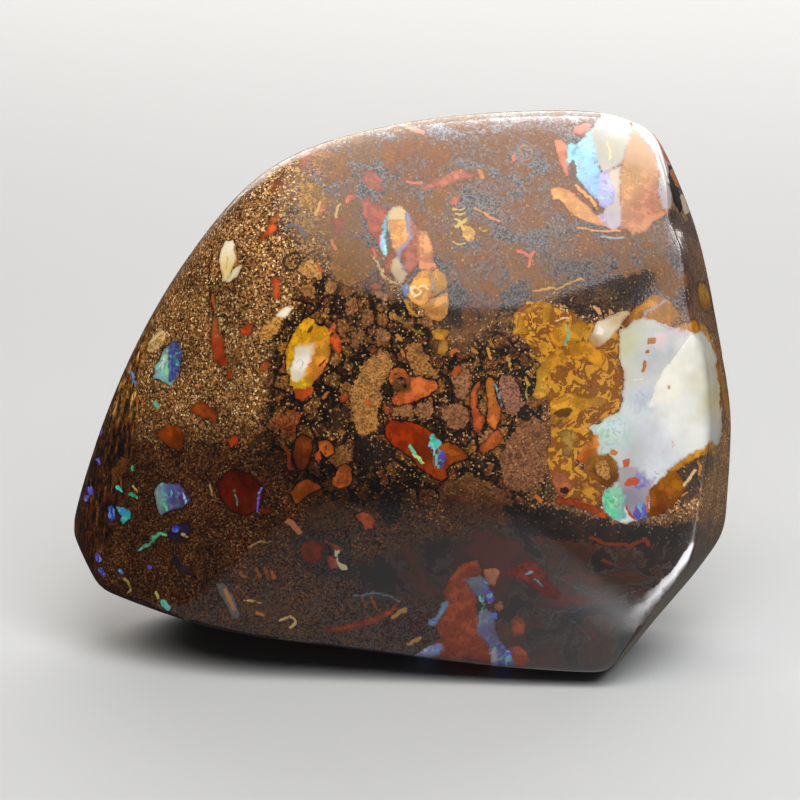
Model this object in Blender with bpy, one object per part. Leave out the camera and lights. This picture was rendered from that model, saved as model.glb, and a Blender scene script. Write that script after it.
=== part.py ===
"""A hand-sized freeform of opalized petrified wood: one solid stone, ground to shape and polished.

Metres, +Z up. The origin is under the middle of the stone, on the surface that it stands on.
The front looks along -Y, the long side runs along X, and the stone rests on a small ground flat.
"""

import math

import bmesh
import bpy
from mathutils import Vector, noise

MM = 0.001

# The heart is the point inside the stone that each ground facet's reach is measured from.
HEART = Vector((1.8 * MM, 0.5 * MM, 39.8 * MM))

# Each facet: bearing from the front round to the right, rise above the horizon, both in
# degrees, and reach from the heart in millimetres.
DOMED_FACETS = {
    "front": (-6, 16, 22.5),
    "front_upper": (6, 44, 27.5),
    "front_lower": (-4, -8, 27.0),
    "front_left": (-34, 12, 29.5),
    "front_right": (18, 14, 25.5),
    "crown": (-174, 75, 44.3),
    "crown_left": (-125, 65, 42.8),
    "crown_right": (95, 46, 59.0),
    "left_upper": (-101, 36, 41.0),
    "left_middle": (-97, 22, 46.8),
    "left_lower": (-93, 9, 52.5),
    "back": (176, -4, 22.5),
    "back_upper": (-165, 38, 38.4),
    "back_left": (-146, 4, 31.0),
    "back_right": (142, 2, 34.0),
}
EDGED_FACETS = {
    "right_upper": (81, 24, 48.6),
    "right_side": (79, 13, 46.0),
    "right_corner": (74, -4, 47.0),
    "right_bevel": (71, -34, 50.0),
    "underside_right": (-8, -74, 41.2),
    "underside": (-28, -73, 39.5),
    "underside_left": (-50, -67, 43.2),
    "corner_left": (-80, -25, 57.0),
    "underside_back": (165, -58, 39.0),
}
DOME_SHARPNESS = 13
EDGE_SHARPNESS = 70

ROUGH_BLOCK = Vector((130 * MM, 80 * MM, 120 * MM))
MESH_STEP = 2.55 * MM

# The wheel leaves a slow ripple of this height and length.
RIPPLE_HEIGHT = 0.35 * MM
RIPPLE_LENGTH = 24 * MM

# Hollows that the grinding left: bearing, rise, radius and depth.
HOLLOWS = {
    "crevice_upper_right": (83, 36, 4.5 * MM, 1.2 * MM),
    "crust_right": (80, 20, 6.0 * MM, 0.6 * MM),
    "amber_rim": (78, 2, 7.0 * MM, 0.5 * MM),
}

REST_HEIGHT = 0.0


def direction(bearing, rise):
    """The unit vector at a bearing from the front, round to the right, and a rise."""
    turn = math.radians(bearing)
    lift = math.radians(rise)
    return Vector(
        (
            math.sin(turn) * math.cos(lift),
            -math.cos(turn) * math.cos(lift),
            math.sin(lift),
        )
    )


def facet_planes(facets):
    """The facets as pairs of an outward unit normal and a reach in metres."""
    return [(direction(bearing, rise), reach * MM) for bearing, rise, reach in facets.values()]


DOMED_PLANES = facet_planes(DOMED_FACETS)
EDGED_PLANES = facet_planes(EDGED_FACETS)


def rounded_reach(ray):
    """How far the polished surface is from the heart along a unit ray.

    A plain cut block would give the largest of the ratios. A power mean of them rolls one
    facet into the next: a low power domes them, and a high one keeps an edge.
    """
    domed = sum(max(0.0, ray.dot(normal) / reach) ** DOME_SHARPNESS for normal, reach in DOMED_PLANES)
    ratios = [domed ** (1 / DOME_SHARPNESS)]
    ratios += [max(0.0, ray.dot(normal) / reach) for normal, reach in EDGED_PLANES]
    total = sum(ratio**EDGE_SHARPNESS for ratio in ratios)
    return total ** (-1 / EDGE_SHARPNESS)


def surface_point(ray):
    """The point of the finished surface along a unit ray from the heart."""
    point = HEART + ray * rounded_reach(ray)
    lift = RIPPLE_HEIGHT * noise.noise(point / RIPPLE_LENGTH)
    for bearing, rise, radius, depth in HOLLOWS.values():
        towards = direction(bearing, rise)
        middle = HEART + towards * rounded_reach(towards)
        lift -= depth * math.exp(-((point - middle).length / radius) ** 2)
    return point + ray * lift


def cut_block():
    """A rough block with each facet sawn off flat."""
    block = bmesh.new()
    bmesh.ops.create_cube(block, size=1)
    bmesh.ops.scale(block, vec=ROUGH_BLOCK, verts=block.verts)
    bmesh.ops.translate(block, vec=HEART, verts=block.verts)
    for normal, reach in DOMED_PLANES + EDGED_PLANES:
        cut = bmesh.ops.bisect_plane(
            block,
            geom=block.verts[:] + block.edges[:] + block.faces[:],
            plane_co=HEART + normal * reach,
            plane_no=normal,
            clear_outer=True,
        )
        rim = [item for item in cut["geom_cut"] if isinstance(item, bmesh.types.BMEdge)]
        bmesh.ops.contextual_create(block, geom=rim)
    return block


def evenly_meshed(block):
    """The block's surface as a mesh of even squares."""
    mesh = bpy.data.meshes.new("cut_block")
    block.to_mesh(mesh)
    block.free()
    helper = bpy.data.objects.new("cut_block", mesh)
    bpy.context.scene.collection.objects.link(helper)
    remesh = helper.modifiers.new("Even squares", "REMESH")
    remesh.mode = "VOXEL"
    remesh.voxel_size = MESH_STEP
    graph = bpy.context.evaluated_depsgraph_get()
    even = bpy.data.meshes.new_from_object(helper.evaluated_get(graph))
    bpy.data.objects.remove(helper)
    return even


def polish(stone):
    """Slides every vertex along its ray from the heart to the polished surface."""
    for vertex in stone.verts:
        vertex.co = surface_point((vertex.co - HEART).normalized())


def grind_resting_flat(stone):
    """Takes the lowest bulge off, which leaves the flat that the stone stands on."""
    cut = bmesh.ops.bisect_plane(
        stone,
        geom=stone.verts[:] + stone.edges[:] + stone.faces[:],
        plane_co=(0, 0, REST_HEIGHT),
        plane_no=(0, 0, -1),
        clear_outer=True,
    )
    rim = [item for item in cut["geom_cut"] if isinstance(item, bmesh.types.BMEdge)]
    bmesh.ops.contextual_create(stone, geom=rim)


def stone_material():
    """Brown ironstone with a wet-looking polish."""
    material = bpy.data.materials.new("opalized_wood")
    material.use_nodes = True
    shader = material.node_tree.nodes["Principled BSDF"]
    shader.inputs["Base Color"].default_value = (0.13, 0.065, 0.033, 1)
    shader.inputs["Roughness"].default_value = 0.12
    shader.inputs["Metallic"].default_value = 0.0
    return material


def main():
    for old in list(bpy.data.objects):
        bpy.data.objects.remove(old)
    mesh = evenly_meshed(cut_block())
    stone = bmesh.new()
    stone.from_mesh(mesh)
    polish(stone)
    grind_resting_flat(stone)
    bmesh.ops.recalc_face_normals(stone, faces=stone.faces)
    stone.to_mesh(mesh)
    stone.free()
    mesh.name = "opalized_wood"
    mesh.materials.append(stone_material())
    mesh.shade_smooth()
    stone_object = bpy.data.objects.new("opalized_wood", mesh)
    bpy.context.scene.collection.objects.link(stone_object)


main()
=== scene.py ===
# %% [markdown]
# # A polished freeform of opalized petrified wood
#
# The real object is one stone: wood that was buried in sand, where the sand turned to brown
# ironstone and part of the wood and of the gaps filled with opal. Somebody ground it to soft
# facets and polished it, so it has few forms and very many colours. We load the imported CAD
# model, which fixes the size and the place, and then make the fine surface and its colours.

import math

import bpy
import numpy as np
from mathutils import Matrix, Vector, noise


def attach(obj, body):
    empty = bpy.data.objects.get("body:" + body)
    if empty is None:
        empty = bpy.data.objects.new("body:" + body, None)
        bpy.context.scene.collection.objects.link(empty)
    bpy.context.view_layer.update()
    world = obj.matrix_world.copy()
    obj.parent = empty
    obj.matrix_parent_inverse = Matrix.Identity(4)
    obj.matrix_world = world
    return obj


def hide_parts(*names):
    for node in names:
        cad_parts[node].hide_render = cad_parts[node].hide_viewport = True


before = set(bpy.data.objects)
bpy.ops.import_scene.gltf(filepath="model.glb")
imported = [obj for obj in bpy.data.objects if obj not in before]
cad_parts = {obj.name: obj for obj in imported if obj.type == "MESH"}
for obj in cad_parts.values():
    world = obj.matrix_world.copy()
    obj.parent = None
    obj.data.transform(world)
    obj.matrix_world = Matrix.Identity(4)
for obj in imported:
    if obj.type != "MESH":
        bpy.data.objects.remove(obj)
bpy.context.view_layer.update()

# %% [markdown]
# ## Where the photograph was taken from
#
# The camera looks down at the stone a little. A long lens from about 0.6 m gives the flat
# perspective of a product photograph. One pixel of the photograph is 0.154 mm on the stone,
# and the stone's heart, the point that all its facets are measured from, is at pixel 415, 395.
# Later, the same numbers tell us where each patch of colour lies on the surface.

# %% The camera
MM = 0.001
HEART = np.array([1.8, 0.5, 39.8]) * MM
HEART_PIXEL = (415, 395)
PIXEL_SIZE = 0.154 * MM
PHOTO_SIZE = 800
CAMERA_RISE = 15
CAMERA_DISTANCE = 0.600


def direction(bearing, rise):
    """The unit vector at a bearing from the front, round to the right, and a rise, in degrees."""
    turn, lift = math.radians(bearing), math.radians(rise)
    return np.array([math.sin(turn) * math.cos(lift), -math.cos(turn) * math.cos(lift), math.sin(lift)])


def sight(bearing, rise):
    """The right, up and backward directions of a camera that looks at the stone."""
    back = direction(bearing, rise)
    up = direction(bearing, rise + 90)
    return np.cross(up, back), up, back


across, upwards, backwards = sight(0, CAMERA_RISE)
aim = (
    HEART
    + across * (PHOTO_SIZE / 2 - HEART_PIXEL[0]) * PIXEL_SIZE
    - upwards * (PHOTO_SIZE / 2 - HEART_PIXEL[1]) * PIXEL_SIZE
)
bpy.ops.object.camera_add(location=aim + backwards * CAMERA_DISTANCE)
camera = bpy.context.object
camera.name = "photo_camera"
camera.rotation_euler = Vector(backwards).to_track_quat("Z", "Y").to_euler()
camera.data.sensor_width = 36
camera.data.lens = 36 * CAMERA_DISTANCE / (PHOTO_SIZE * PIXEL_SIZE)
bpy.context.scene.camera = camera
print("lens in mm:", round(camera.data.lens, 1))

# %% [markdown]
# ## Adding nodes
#
# Colours are written as sRGB hex, and one small function turns them into the linear numbers
# that Blender works with. Another adds a node, sets it and links it, for lights and for stone.


# %% Functions for colours and nodes
def linear(colour):
    """An sRGB hex colour as linear red, green, blue and alpha."""
    parts = [int(colour[i : i + 2], 16) / 255 for i in (1, 3, 5)]
    return [v / 12.92 if v < 0.04045 else ((v + 0.055) / 1.055) ** 2.4 for v in parts] + [1.0]


USUAL = {
    "Mix": {"data_type": "RGBA", "slots": (0, 6, 7), "out": 2},
    "MapRange": {"interpolation_type": "SMOOTHSTEP"},
}


def add(tree, kind, *values, **more):
    """Adds a node, gives or links its inputs in order or by name, and returns one output."""
    more = {**USUAL.get(kind, {}), **more}
    slots, out = more.pop("slots", range(5)), more.pop("out", 0)
    new = tree.nodes.new("ShaderNode" + kind)
    for name in [name for name in more if name not in new.inputs]:
        setattr(new, name, more.pop(name))
    for slot, value in [*zip(slots, values), *more.items()]:
        if isinstance(value, bpy.types.NodeSocket):
            tree.links.new(value, new.inputs[slot])
        else:
            new.inputs[slot].default_value = linear(value) if isinstance(value, str) else value
    return new.outputs[out]


# %% [markdown]
# ## The floor and the light
#
# A polished stone shows its surroundings. In the photograph, a large soft light overhead lies
# on the top third of the front as a pale veil, brightest at the top edge. Below the veil, the
# stone mirrors a dim room, and its own colours are clear. The lowest part and the bevel at the
# lower right mirror something pale by the foot of the stone. So there is one big soft light
# overhead that the stone only mirrors, brighter towards the back, and a second one that carries
# its veil on to the right. One light stands behind for the rim, and two in front light the stone
# without a mirror image. There are pale cards by the foot, a dim room and a plain pale floor.

# %% Floor and room
FLOOR_DROP = 0.02 * MM  # a hair under the stone, so that the two never share a plane

bpy.ops.object.select_all(action="DESELECT")
bpy.ops.mesh.primitive_plane_add(size=6, location=(0, 0, -FLOOR_DROP))
floor = bpy.context.object
floor.name = "studio_floor"
floor_paint = bpy.data.materials.new("matt_studio_paper")
floor_paint.use_nodes = True
floor_shader = floor_paint.node_tree.nodes["Principled BSDF"]
floor_shader.inputs["Base Color"].default_value = linear("#c0c3c6")
floor_shader.inputs["Roughness"].default_value = 0.9
floor_shader.inputs["Specular IOR Level"].default_value = 0.2
floor.data.materials.append(floor_paint)

room = bpy.data.worlds.new("dim_room")
room.use_nodes = True
room.node_tree.nodes["Background"].inputs["Color"].default_value = linear("#dcdcdc")
room.node_tree.nodes["Background"].inputs["Strength"].default_value = 0.06
bpy.context.scene.world = room
bpy.context.scene.view_settings.view_transform = "Standard"

# %% [markdown]
# ### Soft lights
#
# A light's power is worked out from the brightness that its face shows in the stone. The faces
# that the stone mirrors aren't even: a large softbox is brighter near its lamp, so a few nodes
# on the light make its face brighter towards one edge.


# %% Lights
def softbox(name, place, width, depth, brightness, colour, mirrored=True, lights=True, turn=None):
    """A flat soft light that looks at the stone, or is turned. The stone can mirror it or not."""
    bpy.ops.object.light_add(type="AREA", location=place)
    lamp = bpy.context.object
    lamp.name = name
    lamp.data.shape = "RECTANGLE"
    lamp.data.size = width
    lamp.data.size_y = depth
    lamp.data.energy = brightness * width * depth * math.pi
    lamp.data.color = linear(colour)[:3]
    towards = Vector(place) - Vector((0, 0, 0.05))
    lamp.rotation_euler = towards.to_track_quat("Z", "Y").to_euler() if turn is None else turn
    lamp.visible_glossy = mirrored
    lamp.visible_diffuse = lights
    return lamp


def shade_face(lamp, along, full_at, least, gain, power, across, start, end, fall):
    """Makes a light's face brighter along one of its axes, and fades it in along the other."""
    lamp.data.use_nodes = True
    face = lamp.data.node_tree
    spot = add(face, "SeparateXYZ", add(face, "NewGeometry", out="Parametric")).node
    way = add(face, "MapRange", spot.outputs[along], 0.0, full_at, interpolation_type="LINEAR")
    glow = add(face, "Math", way, power, operation="POWER")
    glow = add(face, "Math", glow, gain, least, operation="MULTIPLY_ADD")
    rest = add(face, "MapRange", spot.outputs[across], start, end)
    rest = add(face, "Math", rest, fall, operation="POWER")
    glow = add(face, "Math", glow, rest, operation="MULTIPLY")
    face.links.new(glow, face.nodes["Emission"].inputs["Strength"])


LEVEL = (0, 0, 0)
AWAY_RIGHT = (0, 0, math.radians(38))

overhead = softbox(
    "overhead", (0.36, -0.07, 0.52), width=1.1, depth=1.14, brightness=1.0, colour="#fbfaff",
    lights=False, turn=LEVEL,
)
shade_face(
    overhead, along="Y", full_at=1.0, least=1.3, gain=9.0, power=3.0,
    across="X", start=0.0, end=0.23, fall=1.0,
)
veil_right = softbox(
    "veil_right", (1.25, -0.82, 0.52), width=0.9, depth=1.25, brightness=1.0, colour="#fbfaff",
    lights=False, turn=AWAY_RIGHT,
)
shade_face(
    veil_right, along="X", full_at=0.07, least=0.0, gain=2.0, power=1.0,
    across="Y", start=1.0, end=0.85, fall=1.0,
)
softbox("behind", (0.10, 0.75, 0.42), width=1.2, depth=0.62, brightness=3.5, colour="#fffaf3")
softbox(
    "key", (0.10, -0.36, 0.54), width=0.5, depth=0.5, brightness=6.2, colour="#fffdfa", mirrored=False
)
softbox(
    "left", (-0.40, -0.22, 0.52), width=0.3, depth=0.3, brightness=3.5, colour="#fff0da", mirrored=False
)

# %% [markdown]
# ### White cards by the foot
#
# The low grey veil, the grainy glow beside the bevel and the light on the bevel itself come
# from pale cards around the foot of the stone. The one for the glow leans a little, because the
# stone sees it along the floor, and the one in front is brighter towards the right. Only the
# stone mirrors these cards. The floor is left out of the mirror image and lends the stone no
# light, so that its colours stay deep.

# %% White cards and the floor
FACE_UP = (math.pi, 0, 0)
LEANING = (math.pi - 0.1, 0, math.radians(42))
CARD_HEIGHT = 0.0005

front_card = softbox(
    "card_front", (0.30, -0.44, CARD_HEIGHT), width=0.75, depth=0.84, brightness=1.0, colour="#f6f6fa",
    lights=False, turn=FACE_UP,
)
shade_face(
    front_card, along="X", full_at=0.27, least=0.25, gain=2.4, power=2.5,
    across="Y", start=0.9, end=-0.2, fall=5.0,
)
glow_card = softbox(
    "card_glow", (0.105, -0.088, 0.0085), width=0.13, depth=0.16, brightness=1.0, colour="#f6f6fa",
    lights=False, turn=LEANING,
)
shade_face(
    glow_card, along="Y", full_at=0.22, least=0.0, gain=9.0, power=1.2,
    across="X", start=0.05, end=0.7, fall=1.6,
)
softbox(
    "card_beside", (0.08, -0.028, CARD_HEIGHT), width=0.07, depth=0.055, brightness=0.22,
    colour="#fff0e2", lights=False, turn=FACE_UP,
)
softbox(
    "card_behind", (0.11, 0.07, CARD_HEIGHT), width=0.16, depth=0.18, brightness=0.09,
    colour="#ffe9d2", lights=False, turn=FACE_UP,
)
floor.visible_diffuse = False
floor.visible_glossy = False

# %% [markdown]
# ## Sawing the block
#
# A lapidary saws a rough block, grinds one facet after another and then softens the edges. We
# do the same. A cube of rough size is cut by one plane for each facet, with the same named
# facets as the CAD model: bearing from the front round to the right, rise above the horizon,
# and reach from the heart in millimetres. The domed facets will roll into each other, and the
# edged ones keep a crisp edge.

# %% The facets and the cut block
DOMED_FACETS = {
    "front": (-6, 16, 22.5),
    "front_upper": (6, 44, 27.5),
    "front_lower": (-4, -8, 27.0),
    "front_left": (-34, 12, 29.5),
    "front_right": (18, 14, 25.5),
    "crown": (-174, 75, 44.3),
    "crown_left": (-125, 65, 42.8),
    "crown_right": (95, 46, 59.0),
    "left_upper": (-101, 36, 41.0),
    "left_middle": (-97, 22, 46.8),
    "left_lower": (-93, 9, 52.5),
    "back": (176, -4, 22.5),
    "back_upper": (-165, 38, 38.4),
    "back_left": (-146, 4, 31.0),
    "back_right": (142, 2, 34.0),
}
EDGED_FACETS = {
    "right_upper": (81, 24, 48.6),
    "right_side": (79, 13, 46.0),
    "right_corner": (74, -4, 47.0),
    "right_bevel": (71, -34, 50.0),
    "underside_right": (-8, -74, 41.2),
    "underside": (-28, -73, 39.5),
    "underside_left": (-50, -67, 43.2),
    "corner_left": (-80, -25, 57.0),
    "underside_back": (165, -58, 39.0),
}

ROUGH_BLOCK = (130 * MM, 80 * MM, 120 * MM)

bpy.ops.object.select_all(action="DESELECT")
bpy.ops.mesh.primitive_cube_add(size=1, location=HEART, scale=ROUGH_BLOCK)
stone = bpy.context.object
stone.name = "polished_stone"
bpy.ops.object.transform_apply(location=True, rotation=True, scale=True)
bpy.ops.object.mode_set(mode="EDIT")
for bearing, rise, reach in [*DOMED_FACETS.values(), *EDGED_FACETS.values()]:
    bpy.ops.mesh.select_all(action="SELECT")
    outward = direction(bearing, rise)
    bpy.ops.mesh.bisect(
        plane_co=HEART + outward * reach * MM, plane_no=outward, use_fill=True, clear_outer=True
    )
bpy.ops.object.mode_set(mode="OBJECT")
print("cut block:", len(stone.data.polygons), "flat faces")

# %% [markdown]
# ## Polishing
#
# The flat faces become a fine even mesh with a voxel remesh. Then each point slides along its
# ray from the heart to the polished surface. A power mean of the facets' planes rounds the
# block: with a low power one facet rolls into the next, and with a high one the edge stays.
# The slow ripple and the shallow hollows are those of the CAD model.

# %% An even mesh, slid to the polished surface
DOME_SHARPNESS = 13
EDGE_SHARPNESS = 70
MESH_STEP = 1.25 * MM
RIPPLE_HEIGHT = 0.35 * MM
RIPPLE_LENGTH = 24 * MM
SKIN = 0.08 * MM  # the finer mesh fills out the curves more, so it starts this much deeper
HOLLOWS = {
    "crevice_upper_right": (83, 36, 4.5 * MM, 1.2 * MM),
    "crust_right": (80, 20, 6.0 * MM, 0.6 * MM),
    "amber_rim": (78, 2, 7.0 * MM, 0.5 * MM),
}


def ratios(rays, facets):
    """For each facet, how close a ray comes to its plane, one over the distance."""
    return [np.maximum(0, rays @ direction(b, r) / (d * MM)) for b, r, d in facets.values()]


def surface_points(rays):
    """The points of the polished surface along unit rays from the heart."""
    domed = sum(ratio**DOME_SHARPNESS for ratio in ratios(rays, DOMED_FACETS)) ** (1 / DOME_SHARPNESS)
    total = sum(ratio**EDGE_SHARPNESS for ratio in [domed, *ratios(rays, EDGED_FACETS)])
    return HEART + rays * (total ** (-1 / EDGE_SHARPNESS))[:, None]


def points_of(mesh):
    """The mesh's points as an array of rows."""
    flat = np.empty(len(mesh.vertices) * 3)
    mesh.vertices.foreach_get("co", flat)
    return flat.reshape(-1, 3)


def polish(piece):
    """Slides every point of a piece along its ray to the polished surface."""
    rays = points_of(piece.data) - HEART
    rays /= np.linalg.norm(rays, axis=1)[:, None]
    places = surface_points(rays)
    lift = np.array([noise.noise(p) for p in places / RIPPLE_LENGTH]) * RIPPLE_HEIGHT - SKIN
    for bearing, rise, radius, depth in HOLLOWS.values():
        middle = surface_points(direction(bearing, rise)[None])
        lift -= depth * np.exp(-((np.linalg.norm(places - middle, axis=1) / radius) ** 2))
    piece.data.vertices.foreach_set("co", (places + rays * lift[:, None]).ravel())
    piece.data.update()


remesh = stone.modifiers.new("Even squares", "REMESH")
remesh.mode = "VOXEL"
remesh.voxel_size = MESH_STEP
bpy.ops.object.modifier_apply(modifier=remesh.name)
polish(stone)
print("polished:", len(stone.data.vertices), "points")


# %% [markdown]
# ## Where each point shows in a picture
#
# The patches of colour are read from the photograph, so we need to know where each point of the
# mesh would show in it. The same works for a camera on any other side.


# %% Project the points into a picture
def towards_camera(piece, bearing=0, rise=CAMERA_RISE):
    """For each point, its photo pixel and how squarely it faces a camera at this sight."""
    right, up, back = sight(bearing, rise)
    seen_from = (
        HEART
        + right * (PHOTO_SIZE / 2 - HEART_PIXEL[0]) * PIXEL_SIZE
        - up * (PHOTO_SIZE / 2 - HEART_PIXEL[1]) * PIXEL_SIZE
        + back * CAMERA_DISTANCE
    )
    to_point = points_of(piece.data) - seen_from
    scale = CAMERA_DISTANCE / (to_point @ -back) / PIXEL_SIZE
    pixel_x = PHOTO_SIZE / 2 + to_point @ right * scale
    pixel_y = PHOTO_SIZE / 2 - to_point @ up * scale
    outward = np.empty(len(piece.data.vertices) * 3)
    piece.data.vertices.foreach_get("normal", outward)
    view = -to_point / np.linalg.norm(to_point, axis=1)[:, None]
    return pixel_x, pixel_y, np.sum(outward.reshape(-1, 3) * view, axis=1)


# %% [markdown]
# ## How the patches are laid down
#
# The colours of this stone are its whole character, and each patch sits where it sits by chance
# of nature. So we read their outlines from enlarged views of the photograph and write
# them as pixel positions, as somebody would who traces a pattern onto a block with a pencil.
# There are three kinds. A bed is a piece of sandstone of another brown: it keeps the grain. A
# piece is smooth opal or jasper. A fleck is a small mark on top of either. A patch without a
# width is a closed outline, and one with a width is a vein that follows its path. Several
# shades with a position blend into each other inside one patch. The rim says how dark the
# stone is around it, from 0 to 1. The tone is a share of red, green and blue that all shades of
# a patch are multiplied by, where it has to be darker or warmer than it looks in an enlarged view.
# On the pieces in the low part of the stone, the tone is partly painted shade: it darkens them
# as the rest of the stone is darkened towards the bottom.

# %% The list of patches
PATCHES = []


def patch(kind, outline, shades, width=0, rim=0.0, seen=(0, CAMERA_RISE), tone=(1, 1, 1)):
    """Adds a patch: its outline or path, its shades, as hex or as hex@x,y, and how they are toned."""
    path = np.array([[float(v) for v in spot.split(",")] for spot in outline.split()])
    colours, places = [], []
    for shade in shades.split():
        colour, _, place = shade.partition("@")
        colours.append(np.array(linear(colour)[:3]) * tone)
        places.append([float(v) for v in place.split(",")] if place else path.mean(axis=0))
    PATCHES.append((kind, path, np.array(colours), np.array(places), width, rim, seen))


def ring(x, y, radius):
    """The path of a small closed ring, not quite round."""
    spots = []
    for turn in (k * math.pi / 5 for k in range(11)):
        reach = radius * (1 + 0.16 * math.sin(2 * turn + x) + 0.12 * math.sin(3 * turn + y))
        spots.append(f"{x + reach * math.cos(turn):.1f},{y + reach * math.sin(turn):.1f}")
    return " ".join(spots)


# %% [markdown]
# ## The opal in the upper right corner
#
# A lens of peach potch, which is opal without play of colour, between white and blue opal. Only
# the blue and violet part has a play of colour. Jasper and brown ironstone frame it below left.
# The pale band along its right rim is white opal, painted paler still with a reflection of the
# light above.

# %% Patches of the upper right opal
# white opal along the right rim, partly a painted reflection of the light above
patch("piece", "632,120 641,124 650,131 657,141 663,152 668,164 669,172 672,186 672,206 664,210 "
      "661,200 659,186 659,172 655,158 650,148 643,138 636,131",
      "#f6f1ec@640,128 #efe6e0@664,165 #d6ccc6@668,200", tone=(0.68, 0.68, 0.72))
patch("piece", "629,126 636,131 643,138 650,148 655,158 658,168 659,182 660,200 662,209 669,212 "
      "664,216 655,219 650,224 646,230 640,233 632,233 628,228 621,229 620,215 622,200 620,180 "
      "622,165 625,150 627,138",
      "#f0c496@640,148 #ecb06a@627,182 #df8f60@650,205 #e09a68@637,228", tone=(0.7, 0.66, 0.65))
patch("piece", "603,113 628,114 630,124 628,138 624,152 621,163 611,168 604,172 599,165 595,150 "
      "591,132 596,124", "#f7f5ea@614,126 #f3eccc@611,148 #ece6d2@606,163", tone=(0.62, 0.62, 0.68))
patch("piece", "610,170 620,166 619,185 620,205 620,225 614,231 608,226 604,214 606,207 613,203 "
      "615,192 611,182", "#e2d6c0@616,175 #d8ccc0@614,200 #cfc4cc@610,222", tone=(0.8, 0.78, 0.8))
patch("piece", "567,152 571,142 577,145 583,139 588,132 591,130 594,146 597,160 600,173 602,185 "
      "601,198 596,199 590,192 583,184 576,175 574,168 572,160 568,166",
      "#8fe0e8@574,152 #bfe8f0@588,145 #9ccdf0@590,165 #8fb4ec@596,182")
patch("piece", "600,174 608,172 611,182 615,192 613,203 606,207 600,204 597,198 601,190",
      "#c2b6ee@606,182 #b0a4e2@606,200")
patch("piece", "596,216 602,214 606,218 604,223 598,222", "#b9a8e0")
patch("fleck", "659,178 659,186 660,196", "#7fd4e6", width=1.5)
patch("fleck", "607,141 611,150 609,160", "#f2dc84", width=2)
patch("fleck", "573,158 571,168 569,180 573,181 577,172 576,165", "#6a4226")
patch("fleck", "633,119 645,125 655,137 661,148 671,165", "#d8623a", width=2)
patch("piece", "551,190 557,188 565,190 572,193 578,198 586,206 594,213 600,219 606,226 600,224 "
      "590,222 580,217 570,212 565,204 560,198 553,199", "#e29a4e@560,193 #dd9a58@590,217")
patch("fleck", "575,185 590,198 597,208", "#e29a55", width=3)
patch("fleck", "592,206 597,207 598,211 594,211", "#2a1a12")
patch("fleck", "577,228 590,229 605,231 620,231", "#dd9550", width=2)
patch("fleck", "600,236 612,238 625,237", "#8f9cac", width=2)
patch("piece", "556,140 562,141 567,146 566,155 568,165 567,175 562,165 558,155", "#d98257")
patch("bed", "548,130 566,138 568,170 572,186 590,200 600,212 585,205 566,192 552,186 545,165",
      "#8a5c3c")
patch("piece", "575,126 583,124 590,126 588,131 580,134 573,132", "#d98868@580,129 #c98a70@588,127")

# %% [markdown]
# ## The white opal on the right
#
# The largest patch is milky white potch. Ironstone spots float in it, and at its foot it turns
# to precious opal, green and violet. Honey-coloured opal surrounds it. A thin white line across
# it is a painted highlight along a facet edge, with a fainter one beside it, and the cream wedge
# below the line is painted lighter, as the side of that edge that takes more light.

# %% Patches of the white opal and the honey opal
patch("piece", "640,305 646,300 652,296 657,294 663,297 668,300 672,305 677,311 678,317 675,321 "
      "671,325 668,330 664,328 658,324 650,321 645,318 641,320 642,312",
      "#d0902a@650,303 #c98412@665,315 #b8740c@672,322")
patch("fleck", "644,317 646,311 653,308 661,304 666,300", "#a99ab0", width=2.5)
patch("piece", "631,312 636,307 641,304 644,305 643,312 638,318 634,322 630,326 626,329 622,324 "
      "627,317", "#c07c18@638,310 #8a5010@626,324", rim=0.3)
patch("piece", "668,331 676,328 684,325 688,327 688,333 680,335", "#d29a48")
patch("piece", "688,324 693,321 698,322 700,326 700,331 694,335 688,332", "#c68414", rim=0.3)
patch("piece", "700,323 704,328 708,334 713,345 717,356 720,368 723,380 726,393 727,405 725,415 "
      "723,424 721,412 719,400 716,386 714,376 716,366 715,356 711,346 706,336 701,330",
      "#dca644@706,335 #c88a2c@718,365 #8a5a22@725,410")
patch("piece", "650,490 656,483 664,476 670,472 678,474 682,480 684,488 680,496 676,502 668,509 "
      "660,514 650,516 646,510 646,500",
      "#d08a18@672,482 #b86c0a@655,500 #8a4c08@660,511", rim=0.4, tone=(0.62, 0.5, 0.2))
patch("piece", "668,470 675,464 683,458 692,453 700,449 712,441 720,440 718,446 712,450 700,455 "
      "694,459 686,464 678,470 670,474", "#d29428@700,450 #b8781c@675,469")
patch("piece", "621,330 628,328 634,322 640,320 644,318 648,320 655,322 662,327 668,330 676,331 "
      "688,332 694,335 700,332 706,338 712,348 716,358 715,366 716,374 718,390 720,405 721,418 "
      "722,425 720,433 717,445 712,441 706,446 697,450 690,453 683,458 675,464 668,470 664,476 "
      "656,483 650,490 648,500 648,512 640,519 630,522 622,523 614,519 608,513 603,505 602,498 "
      "605,490 610,485 617,479 619,470 617,462 612,457 605,455 598,453 596,447 596,438 593,432 "
      "590,428 594,425 600,424 604,419 610,415 618,412 622,406 624,400 622,394 624,388 625,380 "
      "625,372 622,364 620,355 620,345 620,336",
      "#c9c9a4@624,345 #cfd0c4@632,372 #cbced2@650,360 #d4d8e6@645,400 #c6c9cd@665,352 "
      "#f4f4ea@688,360 #f7f7f0@690,395 #f2f4f0@668,415 #e6eaf2@650,430 #c6dcd2@606,440 "
      "#d2e4e0@618,430 #f0f2ee@700,430 #efe2b8@716,400 #e8e4d4@712,370 #e2e6ee@660,460 "
      "#c9cdd0@635,458",
      rim=0.25)
# the cream wedge: cream opal, painted lighter as a lit facet
patch("piece", "692,336 682,347 676,356 662,376 656,386 652,397 650,407 662,404 680,396 700,390 "
      "712,380 710,356 700,340", "#fbfaf0@690,360 #f8f6ea@665,390 #f3efd8@708,375")
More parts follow.
